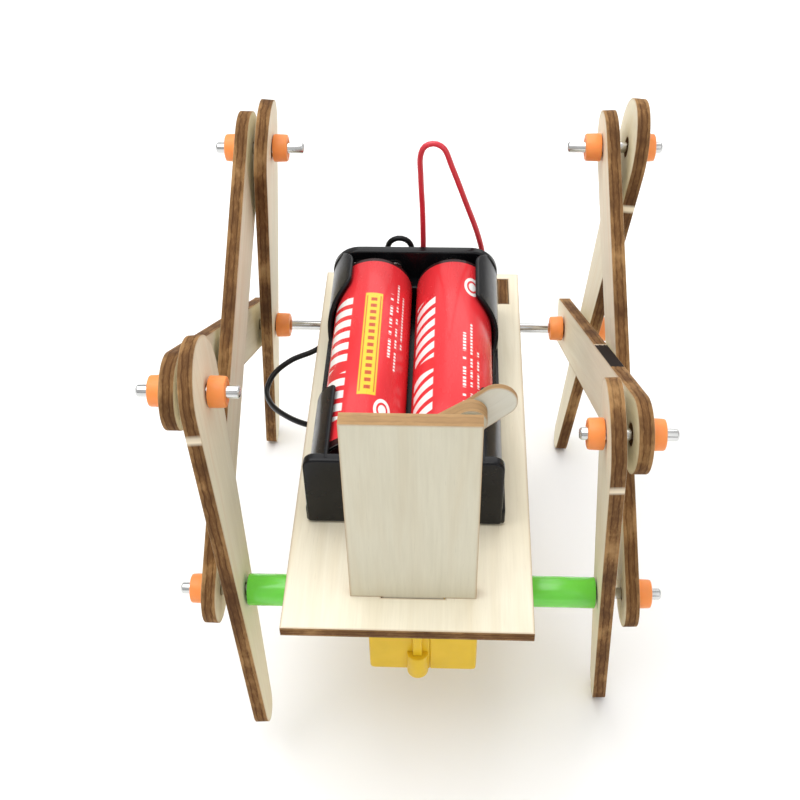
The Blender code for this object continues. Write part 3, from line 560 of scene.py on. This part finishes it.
def prism_bm(loop, d0, d1, axis, bevel=0.0, segments=3):
    """Closed prism along an axis, its rim edges rounded by `bevel`."""
    bm = bmesh.new()
    low, high = ([bm.verts.new((*p[:axis], d, *p[axis:])) for p in loop] for d in (d0, d1))
    bridge(bm, low, high)
    caps = [bm.faces.new(low[::-1]), bm.faces.new(high)]
    bmesh.ops.recalc_face_normals(bm, faces=bm.faces)
    if bevel:
        rim = list({e for f in caps for e in f.edges})
        bmesh.ops.bevel(bm, geom=rim, offset=bevel, segments=segments, affect="EDGES", profile=0.5,
                        clamp_overlap=True)
    return bm


def block_bm(x0, x1, y0, y1, z0, z1, bevel=0.2, segments=3):
    bm = bmesh.new()
    bmesh.ops.create_cube(bm, size=1.0)
    bmesh.ops.scale(bm, verts=bm.verts, vec=(x1 - x0, y1 - y0, z1 - z0))
    bmesh.ops.translate(bm, verts=bm.verts, vec=((x0 + x1) / 2, (y0 + y1) / 2, (z0 + z1) / 2))
    bmesh.ops.bevel(bm, geom=bm.edges, offset=bevel, segments=segments, affect="EDGES", profile=0.5)
    return bm


def join_bm(parts):
    """One bmesh from several."""
    out = bmesh.new()
    for bm in parts:
        mesh = bpy.data.meshes.new("part")
        bm.to_mesh(mesh)
        bm.free()
        out.from_mesh(mesh)
        bpy.data.meshes.remove(mesh)
    return out


# ---- linkage
def meet(p, reach_p, q, reach_q):
    span = q - p
    dist = span.length
    along = (reach_p ** 2 - reach_q ** 2 + dist ** 2) / (2 * dist)
    off = math.sqrt(reach_p ** 2 - along ** 2)
    unit = span / dist
    return p + unit * along + Vector((-unit.y, unit.x)) * off


def linkage(angle):
    pin = Vector((AXIS_Y, AXIS_Z)) + CRANK_R * Vector((math.cos(angle), math.sin(angle)))
    return pin, meet(pin, LINK_F, REAR, LINK_L), meet(pin, LINK_B, REAR, LINK_A)


def leaning(a, b, xa, xb):
    """Local frame of a board: x from pivot a to pivot b, z out through its thickness."""
    start, end = Vector((xa, a.x, a.y)), Vector((xb, b.x, b.y))
    ex = (end - start).normalized()
    ez = (EX - ex * ex.x).normalized()
    return basis(start, ex, ez.cross(ex), ez), (end - start).length / (b - a).length


def leg_board(name, body, a, b, xa, xb, outline, holes, seed, pale=(), black=()):
    matrix, stretch = leaning(a, b, xa, xb)
    loops = [[(s * stretch, n) for s, n in outline]]
    loops += [circle(s * stretch, n, r, 40) for s, n, r in holes]
    laser_board(name + "_board", loops, LEG_T, "ply_leg", body, (name,), matrix, seed, pale, black)


# ---- chassis boards
def make_chassis():
    half = PLATE_W / 2
    play = SLOT_PLAY
    tab = PANEL_TAB / 2 + play
    y0, y1 = PANEL_Y - play, PANEL_Y + PANEL_T + play
    outline = [(-half, 0), (half, 0), (half, PLATE_L), (-half, PLATE_L)]
    loops = [outline, [(PANEL_X - tab, y0), (PANEL_X + tab, y0), (PANEL_X + tab, y1), (PANEL_X - tab, y1)]]
    for sign in (-1, 1):
        mid, wide, long = sign * BRACKET_X, BRACKET_T / 2 + play, BRACKET_TAB / 2 + play
        loops.append([(mid - wide, REAR_Y - long), (mid + wide, REAR_Y - long),
                      (mid + wide, REAR_Y + long), (mid - wide, REAR_Y + long)])
    # grain runs along the plate, so local x is +Y
    turned = [[(y, -x) for x, y in loop] for loop in loops]
    matrix = basis((0, 0, -PLATE_T / 2), EY, -EX, EZ)
    laser_board("plate_board", turned, PLATE_T, "ply_plate", "chassis", ("base_plate",), matrix, 0.13,
                inset=0.4)

    x0, x1 = -PANEL_W / 2, PANEL_W / 2
    t0, t1 = -PANEL_TAB / 2, PANEL_TAB / 2
    tip = SEAT - PLATE_T
    loop = [(SEAT, x0), (SEAT, t0), (tip, t0), (tip, t1), (SEAT, t1), (SEAT, x1),
            (PANEL_H, x1), (PANEL_H, x0)]
    matrix = basis((PANEL_X, PANEL_Y + PANEL_T / 2, 0), EZ, EX, EY)
    laser_board("panel_board", [loop], PANEL_T, "ply_panel", "chassis", ("front_panel",), matrix, 0.57,
                inset=0.4)

    back = PANEL_Y + PANEL_T + GAP
    for name, mat, end, tilt, length, radius, mid, thick, seed in (
            ("panel_batten", "ply_panel", (9.2, 37.3), 37.0, 15.0, 2.3, back + 1.2, PANEL_T, 0.81),
            ("panel_paddle", "ply_strip", (12.9, 38.7), 43.0, 17.0, 2.8, back + 3.15, PADDLE_T, 0.29)):
        c, s = math.cos(math.radians(tilt)), math.sin(math.radians(tilt))
        matrix = basis((end[0], mid, end[1]), Vector((c, 0, s)), Vector((s, 0, -c)), EY)
        laser_board(name + "_board", [tangent_hull(-length, radius, 0.0, radius, 30)], thick, mat,
                    "chassis", (name,), matrix, seed, inset=0.3)

    for side, sign, seed in (("left", -1, 0.41), ("right", 1, 0.67)):
        reach = BRACKET_TAB / 2
        low = [(-b, a - REAR_Y) for a, b in arc(REAR_Y, REAR_Z, BRACKET_R, 180, 360, 40)]
        seat = PLATE_T + SEAT
        loop = low + [(seat, BRACKET_R), (seat, reach), (SEAT, reach), (SEAT, -reach), (seat, -reach),
                      (seat, -BRACKET_R)]
        # local x is down so that the grain stands upright
        matrix = basis((sign * BRACKET_X, REAR_Y, 0), -EZ, EY, EX)
        laser_board("bracket_" + side, [loop, circle(-REAR_Z, 0, TIGHT_HOLE, 32)], BRACKET_T, "ply_leg",
                    "chassis", ("axle_bracket_" + side,), matrix, seed, inset=0.35)


# ---- battery holder
def make_holder():
    half, mid = HOLD_W / 2, CELL_PITCH / 2
    inner, outer = CELL_R + 0.4, HOLD_W / 2 - CELL_PITCH / 2

    def trough(height):
        top = math.degrees(math.asin((height - CELL_Z) / inner))
        low = math.degrees(math.asin((5.2 - CELL_Z) / inner))
        right = arc(mid, CELL_Z, inner, top, -180 - low, 40)
        left = [(-x, z) for x, z in reversed(right)]
        return [(-half + 0.3, 0.3), (half - 0.3, 0.3), (half, 0.6), (half, height)] + right + left \
            + [(-half, height), (-half, 0.6)]

    def shifted(loop):
        return [(HOLD_X + x, z) for x, z in loop]

    parts = [prism_bm(shifted(trough(6.2)), HOLD_Y0 + 0.6, HOLD_Y1 - 0.6, ALONG_Y, 0.0)]
    front = rounded(-half - 0.5, 0.3, half + 0.2, HOLD_H, (0.7, 0.7, 1.9, 1.9), 9)
    rear = rounded(-half, 0.3, half, HOLD_H + 0.2, (0.7, 0.7, 5.4, 5.4), 16)
    parts.append(prism_bm(shifted(front), HOLD_Y0, HOLD_Y0 + 1.9, ALONG_Y, 0.45, 4))
    parts.append(prism_bm(shifted(rear), HOLD_Y1 - 1.9, HOLD_Y1, ALONG_Y, 0.45, 4))
    # curved side walls, and a foot strip outside each at the front
    for sign in (-1, 1):
        parts.append(wall_bm(sign, mid, inner, outer))
        parts.append(block_bm(*sorted((HOLD_X + sign * (half - 1.6), HOLD_X + sign * (half + 0.7))),
                              HOLD_Y0 + 0.3, HOLD_Y0 + 9.0, 0.3, 3.6, 0.4, 3))
    # a short rib at each end keeps the cells apart
    for y0, y1 in ((HOLD_Y0 + 1.2, HOLD_Y0 + 5.0), (HOLD_Y1 - 5.0, HOLD_Y1 - 1.2)):
        parts.append(block_bm(HOLD_X - 1.3, HOLD_X + 1.3, y0, y1, 3.0, 9.4, 0.35, 3))
    finish_piece("holder_shell", join_bm(parts), "black", "chassis", ("battery_holder",), angle=32.0)

    y_in0, y_in1 = HOLD_Y0 + SHELL, HOLD_Y1 - SHELL
    for side, sign in SIDES:
        cx = HOLD_X + sign * mid
        flip = -sign
        contact = (y_in1 if flip > 0 else y_in0) - flip * GAP
        nub = contact - flip * 0.8
        body = nub - flip * 1.3
        h = CELL_HALF
        tail = body - flip * 2 * h
        profile = [(-h, 0), (-h, 4.6), (-h + 0.18, 4.9), (-h + 0.18, 6.2), (-h, 6.45), (-h + 0.12, 6.9),
                   (-h + 0.5, 7.15), (h - 0.55, 7.15), (h - 0.15, 6.95), (h - 0.05, 6.5), (h - 0.3, 6.2),
                   (h - 0.3, 3.3), (h, 3.0), (h + 1.0, 2.85), (h + 1.25, 2.6), (h + 1.3, 2.2), (h + 1.3, 0)]
        lathe("cell_body_" + side, profile, (cx, (body + tail) / 2, CELL_Z), (0, flip, 0),
              "sleeve_" + side, "chassis", ("cell_" + side,), 64)
        lo, hi = sorted((contact, contact - flip * 0.4))
        plate = prism_bm(rounded(cx - 5.0, 4.6, cx + 5.0, 13.4, (1.2,) * 4, 8), lo, hi, ALONG_Y, 0.08, 2)
        finish_piece("contact_plate_" + side, plate, "nickel", "chassis", ("contact_" + side,))
        start = y_in0 + 0.55 if flip > 0 else y_in1 - 0.55
        spring_piece(side, cx, start, tail - flip * 0.55)


def wall_bm(sign, mid, inner, outer):
    """Curved side wall: an arc sheet round the cell, its upper angle set along y."""
    def top_angle(y):
        at_rear = y > (HOLD_Y0 + HOLD_Y1) / 2
        ends = HOLD_Y1 - y if at_rear else y - HOLD_Y0
        reach, fade = ((20.0, 10.0) if sign < 0 else (20.5, 6.0)) if at_rear else (20.0, 2.4)
        t = min(1.0, max(0.0, (reach - ends) / fade))
        t = t * t * (3 - 2 * t)
        peak = 56.0 - (18.0 * min(1.0, max(0.0, (5.0 - ends) / 4.2)) ** 2 if at_rear else 6.0)
        return -20.0 + (peak + 20.0) * t

    bm = bmesh.new()
    rows = []
    steps = 150
    for i in range(steps + 1):
        y = HOLD_Y0 + 0.8 + (HOLD_Y1 - HOLD_Y0 - 1.6) * i / steps
        top = top_angle(y)
        ring = [(mid + outer, 0.4)] + arc(mid, CELL_Z, outer, min(top, 0.0), top, 15)
        lip = arc(0, 0, (outer - inner) / 2, top, top + 180, 7)[1:-1]
        centre = (mid + (inner + outer) / 2 * math.cos(math.radians(top)),
                  CELL_Z + (inner + outer) / 2 * math.sin(math.radians(top)))
        ring += [(centre[0] + x, centre[1] + z) for x, z in lip]
        ring += arc(mid, CELL_Z, inner, top, -60, 15)
        ring.append((mid + outer - 4.0, 0.4))
        rows.append([bm.verts.new((HOLD_X + sign * x, y, z)) for x, z in ring])
    for a, b in zip(rows, rows[1:]):
        bridge(bm, a, b)
    bm.faces.new(rows[0])
    bm.faces.new(rows[-1][::-1])
    bmesh.ops.recalc_face_normals(bm, faces=bm.faces)
    return bm


def tube_curve(name, points, diameter, mat, body, nodes):
    """Round wire along design-frame points."""
    data = bpy.data.curves.new(name, "CURVE")
    data.dimensions = "3D"
    data.bevel_depth = diameter / 2 * MM
    data.bevel_resolution = 5
    data.use_fill_caps = True
    spline = data.splines.new("POLY")
    spline.points.add(len(points) - 1)
    for knot, p in zip(spline.points, points):
        knot.co = (*row(p), 1.0)
    spline.use_smooth = True
    data.materials.append(MAT[mat])
    obj = placed(name, data)
    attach(obj, body)
    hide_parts(*nodes)
    return obj


def spring_piece(side, cx, y0, y1):
    turns, count = 2.6, 120
    points = []
    for i in range(count + 1):
        t = i / count
        a = 2 * math.pi * turns * t
        r = 4.6 - 2.2 * t
        points.append((cx + r * math.cos(a), y0 + (y1 - y0) * t, CELL_Z + r * math.sin(a)))
    tube_curve("contact_spring_" + side, points, 0.42, "nickel", "chassis", ("spring_" + side,))


# ---- gear motor
def make_motor():
    x0, x1 = AXIS_X - BOX_W / 2, AXIS_X + BOX_W / 2
    bottom = BOX_TOP - BOX_H
    outline = rounded(BOX_Y0, bottom, BOX_Y1, BOX_TOP, (0.9, 1.3, 1.3, 0.9), 8)
    inside = rounded(BOX_Y0 + SHELL, bottom + SHELL, BOX_Y1 - SHELL, BOX_TOP - SHELL, (1.0,) * 4, 8)
    for side, a, b in (("left", x0, SPLIT_X), ("right", SPLIT_X + 0.05, x1)):
        left = side == "left"
        face, seam, outward = (a, b, -1) if left else (b, a, 1)
        bm = bmesh.new()

        def ring(loop, x, bm=bm):
            return [bm.verts.new((x, y, z)) for y, z in loop]

        def shrunk(loop, d):
            cy, cz = (BOX_Y0 + BOX_Y1) / 2, (bottom + BOX_TOP) / 2
            hy, hz = (BOX_Y1 - BOX_Y0) / 2, BOX_H / 2
            return [(cy + (y - cy) * (hy - d) / hy, cz + (z - cz) * (hz - d) / hz) for y, z in loop]

        rings = [ring(shrunk(outline, inset), face - outward * depth)
                 for inset, depth in ((0.9, 0.0), (0.28, 0.09), (0.08, 0.28), (0.0, 0.9))]
        rings += [ring(outline, seam + outward * 0.12), ring(shrunk(outline, 0.12), seam),
                  ring(shrunk(inside, -0.1), seam), ring(inside, seam + outward * 0.1),
                  ring(inside, face - outward * SHELL)]
        for r, s in zip(rings, rings[1:]):
            bridge(bm, r, s)
        bm.faces.new(rings[0])
        bm.faces.new(rings[-1])
        bmesh.ops.recalc_face_normals(bm, faces=bm.faces)
        parts = [bm]
        # two upright ribs and a level one stiffen the flat side
        proud = sorted((face - outward * 0.5, face + outward * 0.45))
        for y0, y1, z0, z1 in ((26.0, 27.0, bottom + 2.2, BOX_TOP - 2.2),
                               (38.0, 39.0, bottom + 2.2, BOX_TOP - 2.2),
                               (27.5, 37.5, bottom + 10.6, bottom + 11.6)):
            parts.append(block_bm(*proud, y0, y1, z0, z1, 0.2, 2))
        if left:
            boss = arc(1.3, BOX_Y0, 1.85, 8, -188, 22)
            parts.append(prism_bm(boss, bottom + 0.1, -18.8, ALONG_Z, 0.25, 3))
            parts.append(block_bm(0.5, 2.1, BOX_Y0 - 0.9, BOX_Y0 + 0.6, -20.0, BOX_TOP - 1.5, 0.25, 3))
        finish_piece("gearbox_shell_" + side, join_bm(parts), "yellow", "chassis", ("gearbox_" + side,))
        lathe("shaft_collar_" + side,
              [(-0.5, 3.1), (-0.5, 4.7), (0.0, 4.6), (0.7, 4.4), (0.9, 4.2), (0.9, 3.2)],
              (face, AXIS_Y, AXIS_Z), (outward, 0, 0), "yellow", "chassis", ())
        for i, (y, z) in enumerate(((30.0, BOX_TOP - 4.9), (30.0, bottom + 4.9), (43.0, BOX_TOP - 3.4),
                                    (43.0, bottom + 3.4))):
            lathe("screw_%s_%d" % (side, i), [(-0.6, 0), (-0.6, 1.7), (0.15, 1.7), (0.5, 1.45), (0.62, 1.0),
                                              (0.62, 0.55), (0.2, 0.45), (0.2, 0)],
                  (face, y, z), (outward, 0, 0), "nickel", "chassis", (), 24)

    can_z = BOX_TOP - BOX_H / 2
    reach, flat = 9.9, 7.6
    lean = math.degrees(math.acos(flat / reach))

    def can(scale, count=36):
        pts = arc(0, 0, reach, lean, 180 - lean, count) + arc(0, 0, reach, 180 + lean, 360 - lean, count)
        return [(AXIS_X + x * scale, can_z + z * scale) for x, z in pts]

    y0, y1 = BOX_Y1 + GAP, CAN_END
    finish_piece("motor_body", prism_bm(can(1.0), y0, y1, ALONG_Y, 0.5, 4), "can", "chassis", ("motor_can",))
    cap = [prism_bm(can(0.97), y1 + 0.05, y1 + 2.3, ALONG_Y, 0.4, 3)]
    for sx in (-1, 1):
        cap.append(block_bm(*sorted((AXIS_X + sx * 3.4, AXIS_X + sx * 5.8)), y1 + 1.6, y1 + 2.6,
                            can_z - 3.0, can_z + 3.0, 0.2, 2))
    finish_piece("motor_cap", join_bm(cap), "white", "chassis", ("motor_end_cap",))
    lathe("motor_bearing", [(0, 0), (0, 3.0), (0.5, 2.9), (0.6, 2.6), (0.6, 1.1), (0.3, 1.0), (0.3, 0)],
          (AXIS_X, y1 + 2.2, can_z), (0, 1, 0), "brass", "chassis", (), 32)
    back = y1 + 2.9
    for side, sign in SIDES:
        tx = AXIS_X + sign * 4.6
        lug = chamfered([(back - 0.6, can_z - 1.1), (back + 3.9, can_z - 1.1), (back + 3.9, can_z + 1.1),
                         (back - 0.6, can_z + 1.1)], 0.5)
        finish_piece("terminal_lug_" + side, prism_bm(lug, tx - 0.24, tx + 0.24, ALONG_X, 0.08, 2), "brass",
                     "chassis", ("terminal_" + side,))
    strap = bmesh.new()
    rows = []
    for scale, y in ((1.035, 52.0), (1.085, 52.0), (1.10, 52.3), (1.10, 56.7), (1.085, 57.0), (1.035, 57.0)):
        rows.append([strap.verts.new((x, y, z)) for x, z in can(scale)])
    for a, b in zip(rows, rows[1:] + rows[:1]):
        bridge(strap, a, b)
    bmesh.ops.recalc_face_normals(strap, faces=strap.faces)
    finish_piece("motor_band", strap, "clear_strap", "chassis", ("motor_strap",))


# ---- drive train and legs
def double_flat(radius, flat, angle, count=24):
    """Outline of a round shaft with two flats, about its own middle."""
    lean = math.degrees(math.acos(flat / radius))
    turn = math.degrees(angle)
    return (arc(0, 0, radius, turn + lean, turn + 180 - lean, count)
            + arc(0, 0, radius, turn + 180 + lean, turn + 360 - lean, count))


def make_crank(pins):
    lo, hi = AXIS_X - SHAFT_HALF, AXIS_X + SHAFT_HALF
    section = [(AXIS_Y + a, AXIS_Z + b) for a, b in double_flat(SHAFT_R, SHAFT_FLAT, CRANK_ANGLE)]
    shaft = prism_bm(section, lo, hi, ALONG_X, 0.3, 3)
    finish_piece("drive_shaft", shaft, "white", "crank", ("output_shaft",))
    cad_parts["output_gear"].material_slots[0].material = MAT["white"]
    for side, sign in SIDES:
        pin = pins[side]
        a, b = sorted((AXIS_X + sign * (SHAFT_HALF - 2.6), AXIS_X + sign * (SHAFT_HALF + 0.4)))
        bore = double_flat(SHAFT_R + 0.12, SHAFT_FLAT + 0.12, CRANK_ANGLE)
        loops = [circle(0, 0, CRANK_DISC_R, 96), bore,
                 circle(pin.x - AXIS_Y, pin.y - AXIS_Z, TIGHT_HOLE, 32)]
        matrix = basis(((a + b) / 2, AXIS_Y, AXIS_Z), EY, EZ, EX)
        laser_board("crank_wheel_" + side, loops, b - a, "ply_leg", "crank", ("crank_disc_" + side,),
                    matrix, 0.23 if side == "left" else 0.77, inset=0.3)


def rod(name, x0, x1, centre, body, nodes):
    """Steel rod with cropped, slightly domed ends."""
    x0, x1 = sorted((x0, x1))
    size = x1 - x0
    profile = [(0, 0), (0, 0.62), (0.06, 0.74), (0.30, 0.97), (0.38, 1.0),
               (size - 0.38, 1.0), (size - 0.30, 0.97), (size - 0.06, 0.74), (size, 0.62), (size, 0)]
    lathe(name, profile, (x0, centre.x, centre.y), (1, 0, 0), "rod", body, nodes, 32)


def bush(name, x0, x1, centre, body, nodes):
    """Soft plastic stop pushed up to its board: rounded rim, dished face, tight bore."""
    base, direction = x0 - math.copysign(SNUG, x1 - x0), (math.copysign(1, x1 - x0), 0, 0)
    size = abs(x1 - x0) + SNUG
    profile = [(0, 1.02), (0, 2.32), (0.08, 2.47), (0.22, 2.55), (size * 0.5, 2.54),
               (size - 0.34, 2.49), (size - 0.12, 2.40), (size, 2.14), (size, 1.75),
               (size - 0.14, 1.62), (size - 0.14, 1.28), (size - 0.05, 1.14), (size - 0.30, 1.02)]
    lathe(name, profile, (base, centre.x, centre.y), direction, "orange", body, nodes, 48)


def tube(name, x0, x1, centre, body, nodes):
    x0, x1 = sorted((x0, x1))
    size = x1 - x0
    profile = [(0, 1.35), (0, 2.62), (0.05, 2.70), (0.14, 2.75), (size - 0.14, 2.75), (size - 0.05, 2.70),
               (size, 2.62), (size, 1.35)]
    lathe(name, profile, (x0, centre.x, centre.y), (1, 0, 0), "green", body, nodes, 64)


def make_side(side, points):
    pin, head, top = points
    xs, rd = LAYOUT[side], ROUND[side]
    leg, bar = "front_leg_" + side, "bar_" + side
    left = side == "left"
    sign = -1 if left else 1

    rod("crank_rod_" + side, AXIS_X + sign * (SHAFT_HALF - 2.3), rd["pin"], pin, "crank",
        ("crank_pin_" + side,))
    tube("spacer_tube_" + side, AXIS_X + sign * (SHAFT_HALF + 0.7), rd["tube"], pin, "crank",
         ("green_tube_" + side,))
    bush("stop_pin_" + side, *rd["P1"], pin, "crank", ("pin_bush_" + side,))

    reach = LINK_F + FRONT_FOOT - FOOT_R
    width = HEAD_R - (HEAD_R - FOOT_R) * 4.0 / reach
    leg_board(leg, leg, head, pin, xs["F"][1], xs["F"][0], tangent_hull(0.0, HEAD_R, reach, FOOT_R),
              [(0, 0, TIGHT_HOLE), (LINK_F, 0, TIGHT_HOLE)], 0.11 if left else 0.73,
              pale=((4.0, FRONT_EDGE * width, 0.62),))
    rod("front_pivot_" + side, *rd["P2"], head, leg, ("front_rod_" + side,))

    low = ((LINK_B + 5.3, 2.0, 0.8),) if not left else ()
    leg_board(bar, bar, top, pin, xs["B"][1], xs["B"][0], tangent_hull(0.0, 6.7, LINK_B, 5.8),
              [(0, 0, TIGHT_HOLE), (LINK_B, 0, TIGHT_HOLE)], 0.37 if left else 0.91, pale=low)
    rod("top_pivot_" + side, *rd["P3"], top, bar, ("top_rod_" + side,))

    lean = math.degrees(math.asin((6.2 - 4.8) / LINK_L))
    outline = ([(-9.0, -4.2), (-9.0, 4.2), (-8.4, 4.8)] + arc(LINK_L, 0, 6.2, 90 + lean, -90 - lean, 40)
               + [(-6.0, -4.8), (-8.0, -4.8)])
    dark = tuple((38.0 + 1.5 * i, -5.4, 2.6) for i in range(9)) if not left else ()
    leg_board("link_" + side, "link_" + side, REAR, head, xs["L"][1], xs["L"][0], outline,
              [(0, 0, TIGHT_HOLE), (LINK_L, 0, OPEN_HOLE)], 0.53 if left else 0.19,
              pale=((36.5, -5.4, 1.0),) if not left else (), black=dark)

    edge = HEAD_R - (HEAD_R - FOOT_R) * 8.0 / (LINK_A + REAR_FOOT)
    spots = ((8.0, FRONT_EDGE * edge, 0.62),) if not left else ((LINK_A + REAR_FOOT, -0.6, 0.9),)
    leg_board("rear_leg_" + side, "rear_leg_" + side, top, REAR, xs["A"][0], xs["A"][1],
              tangent_hull(0.0, HEAD_R, LINK_A + REAR_FOOT - FOOT_R, FOOT_R),
              [(0, 0, OPEN_HOLE), (LINK_A, 0, TIGHT_HOLE)], 0.87 if left else 0.33, pale=spots)

    for place, pivot, centre, body in (("front", "P2", head, leg), ("top", "P3", top, bar),
                                       ("axle", "P4", REAR, "chassis")):
        for end in ("in", "out"):
            bush("stop_%s_%s_%s" % (place, end, side), *rd[pivot + end], centre, body,
                 ("%s_bush_%s_%s" % (place, end, side),))


# ---- leads
RED_ROUTE = ((0.3, 78.85, 4.6), (0.3, 80.0, 4.9), (0.3, 81.3, 6.4), (0.4, 81.5, 9.0), (0.5, 81.3, 14.0),
             (0.4, 81.1, 22.0), (0.1, 81.0, 30.0), (0.1, 81.0, 34.6), (0.9, 81.0, 36.5),
             (2.6, 81.0, 37.1), (4.3, 81.0, 36.2), (5.9, 81.0, 32.2), (8.7, 81.1, 24.0),
             (11.0, 81.3, 17.0), (12.2, 81.8, 11.5), (12.4, 83.4, 6.5), (12.2, 87.0, 3.4),
             (11.6, 90.8, 1.7), (10.6, 92.4, -1.5), (9.4, 90.2, -4.9), (8.2, 85.0, -6.4),
             (7.3, 80.0, -8.8), (6.9, 77.2, -11.6), (6.8, 75.3, -13.0), (6.8, 73.25, -13.4))
BLACK_ROUTE = ((-1.5, 78.85, 5.2), (-1.5, 80.1, 5.5), (-1.4, 81.5, 7.2), (-1.6, 82.2, 11.4),
               (-2.4, 82.4, 13.8), (-4.2, 82.5, 14.6), (-6.0, 82.6, 13.7), (-6.8, 83.0, 11.2),
               (-7.1, 85.4, 5.8), (-7.6, 90.4, 2.0), (-8.6, 92.4, -1.4), (-10.4, 90.4, -4.4),
               (-13.4, 83.6, -4.6), (-17.0, 75.4, -4.2), (-21.0, 70.0, -4.2), (-25.8, 68.2, -5.4),
               (-29.2, 66.0, -7.2), (-30.3, 62.4, -8.2), (-28.8, 57.6, -7.4), (-25.2, 52.6, -5.6),
               (-20.8, 49.2, -4.4), (-15.6, 48.4, -4.6), (-11.8, 51.0, -6.6), (-10.2, 55.8, -9.6),
               (-9.4, 61.6, -12.2), (-7.4, 67.2, -13.3), (-5.2, 70.4, -13.4), (-3.4, 71.9, -13.4))


def smooth_path(knots, spacing):
    """Even points along a centripetal Catmull-Rom curve through the knots."""
    pts = [Vector(k) for k in knots]
    pts = [2 * pts[0] - pts[1]] + pts + [2 * pts[-1] - pts[-2]]
    dense = []
    for p0, p1, p2, p3 in zip(pts, pts[1:], pts[2:], pts[3:]):
        t1 = (p1 - p0).length ** 0.5
        t2 = t1 + (p2 - p1).length ** 0.5
        t3 = t2 + (p3 - p2).length ** 0.5
        for i in range(24):
            t = t1 + (t2 - t1) * i / 24
            a1 = p0.lerp(p1, t / t1)
            a2 = p1.lerp(p2, (t - t1) / (t2 - t1))
            a3 = p2.lerp(p3, (t - t2) / (t3 - t2))
            b1 = a1.lerp(a2, t / t2)
            b2 = a2.lerp(a3, (t - t1) / (t3 - t1))
            dense.append(b1.lerp(b2, (t - t1) / (t2 - t1)))
    dense.append(pts[-2])
    total = sum((b - a).length for a, b in zip(dense, dense[1:]))
    count = round(total / spacing)
    out, run, nxt = [dense[0]], 0.0, total / count
    for a, b in zip(dense, dense[1:]):
        step = (b - a).length
        while run + step >= nxt - 1e-6 and len(out) < count:
            out.append(a.lerp(b, (nxt - run) / step))
            nxt += total / count
        run += step
    out.append(dense[-1])
    return out, total


def make_leads():
    for name, route, mat in (("red", RED_ROUTE, "red_pvc"), ("black", BLACK_ROUTE, "black_pvc")):
        points, length = smooth_path(route, 0.8)
        wire = tube_curve(name + "_wire", points, LEAD_D, mat, "chassis", (name + "_lead",))


# ---- stage
def make_floor():
    ground = bpy.data.meshes.new("ground")
    bm = bmesh.new()
    bmesh.ops.create_grid(bm, x_segments=1, y_segments=1, size=9.0)
    bm.to_mesh(ground)
    bm.free()
    ground.materials.append(Nodes("ground", 0.85, Base_Color=(0.96, 0.96, 0.96, 1.0)).mat)
    floor = placed("ground", ground)


def make_lights():
    world = bpy.data.worlds.new("studio")
    world.use_nodes = True
    # a bright sky that dims towards the horizon gives the bright metal its darker edges
    tree = world.node_tree
    coords = tree.nodes.new("ShaderNodeTexCoord")
    split = tree.nodes.new("ShaderNodeSeparateXYZ")
    fade = tree.nodes.new("ShaderNodeMapRange")
    for key, value in (("From Min", -0.02), ("From Max", 0.45), ("To Min", 0.46), ("To Max", 0.72)):
        fade.inputs[key].default_value = value
    tree.links.new(coords.outputs["Generated"], split.inputs[0])
    tree.links.new(split.outputs[2], fade.inputs["Value"])
    tree.links.new(fade.outputs["Result"], tree.nodes["Background"].inputs["Strength"])
    tree.nodes["Background"].inputs["Color"].default_value = (1.0, 1.0, 1.0, 1.0)
    bpy.context.scene.world = world
    for name, place, aim, size, power in (
            ("key", (-0.18, 0.02, 0.62), (0, 0, 0.04), 0.60, 3.1),
            ("fill", (0.45, -0.30, 0.40), (0, 0, 0.04), 0.60, 0.5),
            ("back", (0.10, 0.55, 0.50), (0, 0, 0.04), 0.55, 1.3)):
        data = bpy.data.lights.new(name, "AREA")
        data.shape, data.size, data.energy = "SQUARE", size, power
        lamp = placed(name, data)
        lamp.location = place
        lamp.rotation_euler = (Vector(aim) - Vector(place)).to_track_quat("-Z", "Y").to_euler()


def make_camera():
    yaw, pitch, roll = (math.radians(a) for a in CAMERA_TURN)
    forward = Vector((-math.sin(yaw) * math.cos(pitch), math.cos(yaw) * math.cos(pitch), -math.sin(pitch)))
    side = forward.cross(EZ).normalized()
    up = side.cross(forward)
    right = side * math.cos(roll) + up * math.sin(roll)
    top = up * math.cos(roll) - side * math.sin(roll)
    data = bpy.data.cameras.new("camera")
    data.sensor_width = 36.0
    data.lens = LENS
    data.clip_start, data.clip_end = 0.01, 20.0
    camera = placed("camera", data)
    camera.matrix_world = basis(CAMERA_SPOT, right, top, -forward)
    bpy.context.scene.camera = camera
    bpy.context.scene.view_settings.view_transform = "Standard"


def main():
    make_floor()
    make_lights()
    make_camera()
    make_leads()
    make_chassis()
    make_holder()
    make_motor()
    points = {"left": linkage(CRANK_ANGLE), "right": linkage(CRANK_ANGLE + math.pi)}
    make_crank({side: p[0] for side, p in points.items()})
    for side in ("left", "right"):
        make_side(side, points[side])
    rod("rear_axle_rod", -41.4, 40.8, REAR, "chassis", ("rear_axle",))


main()
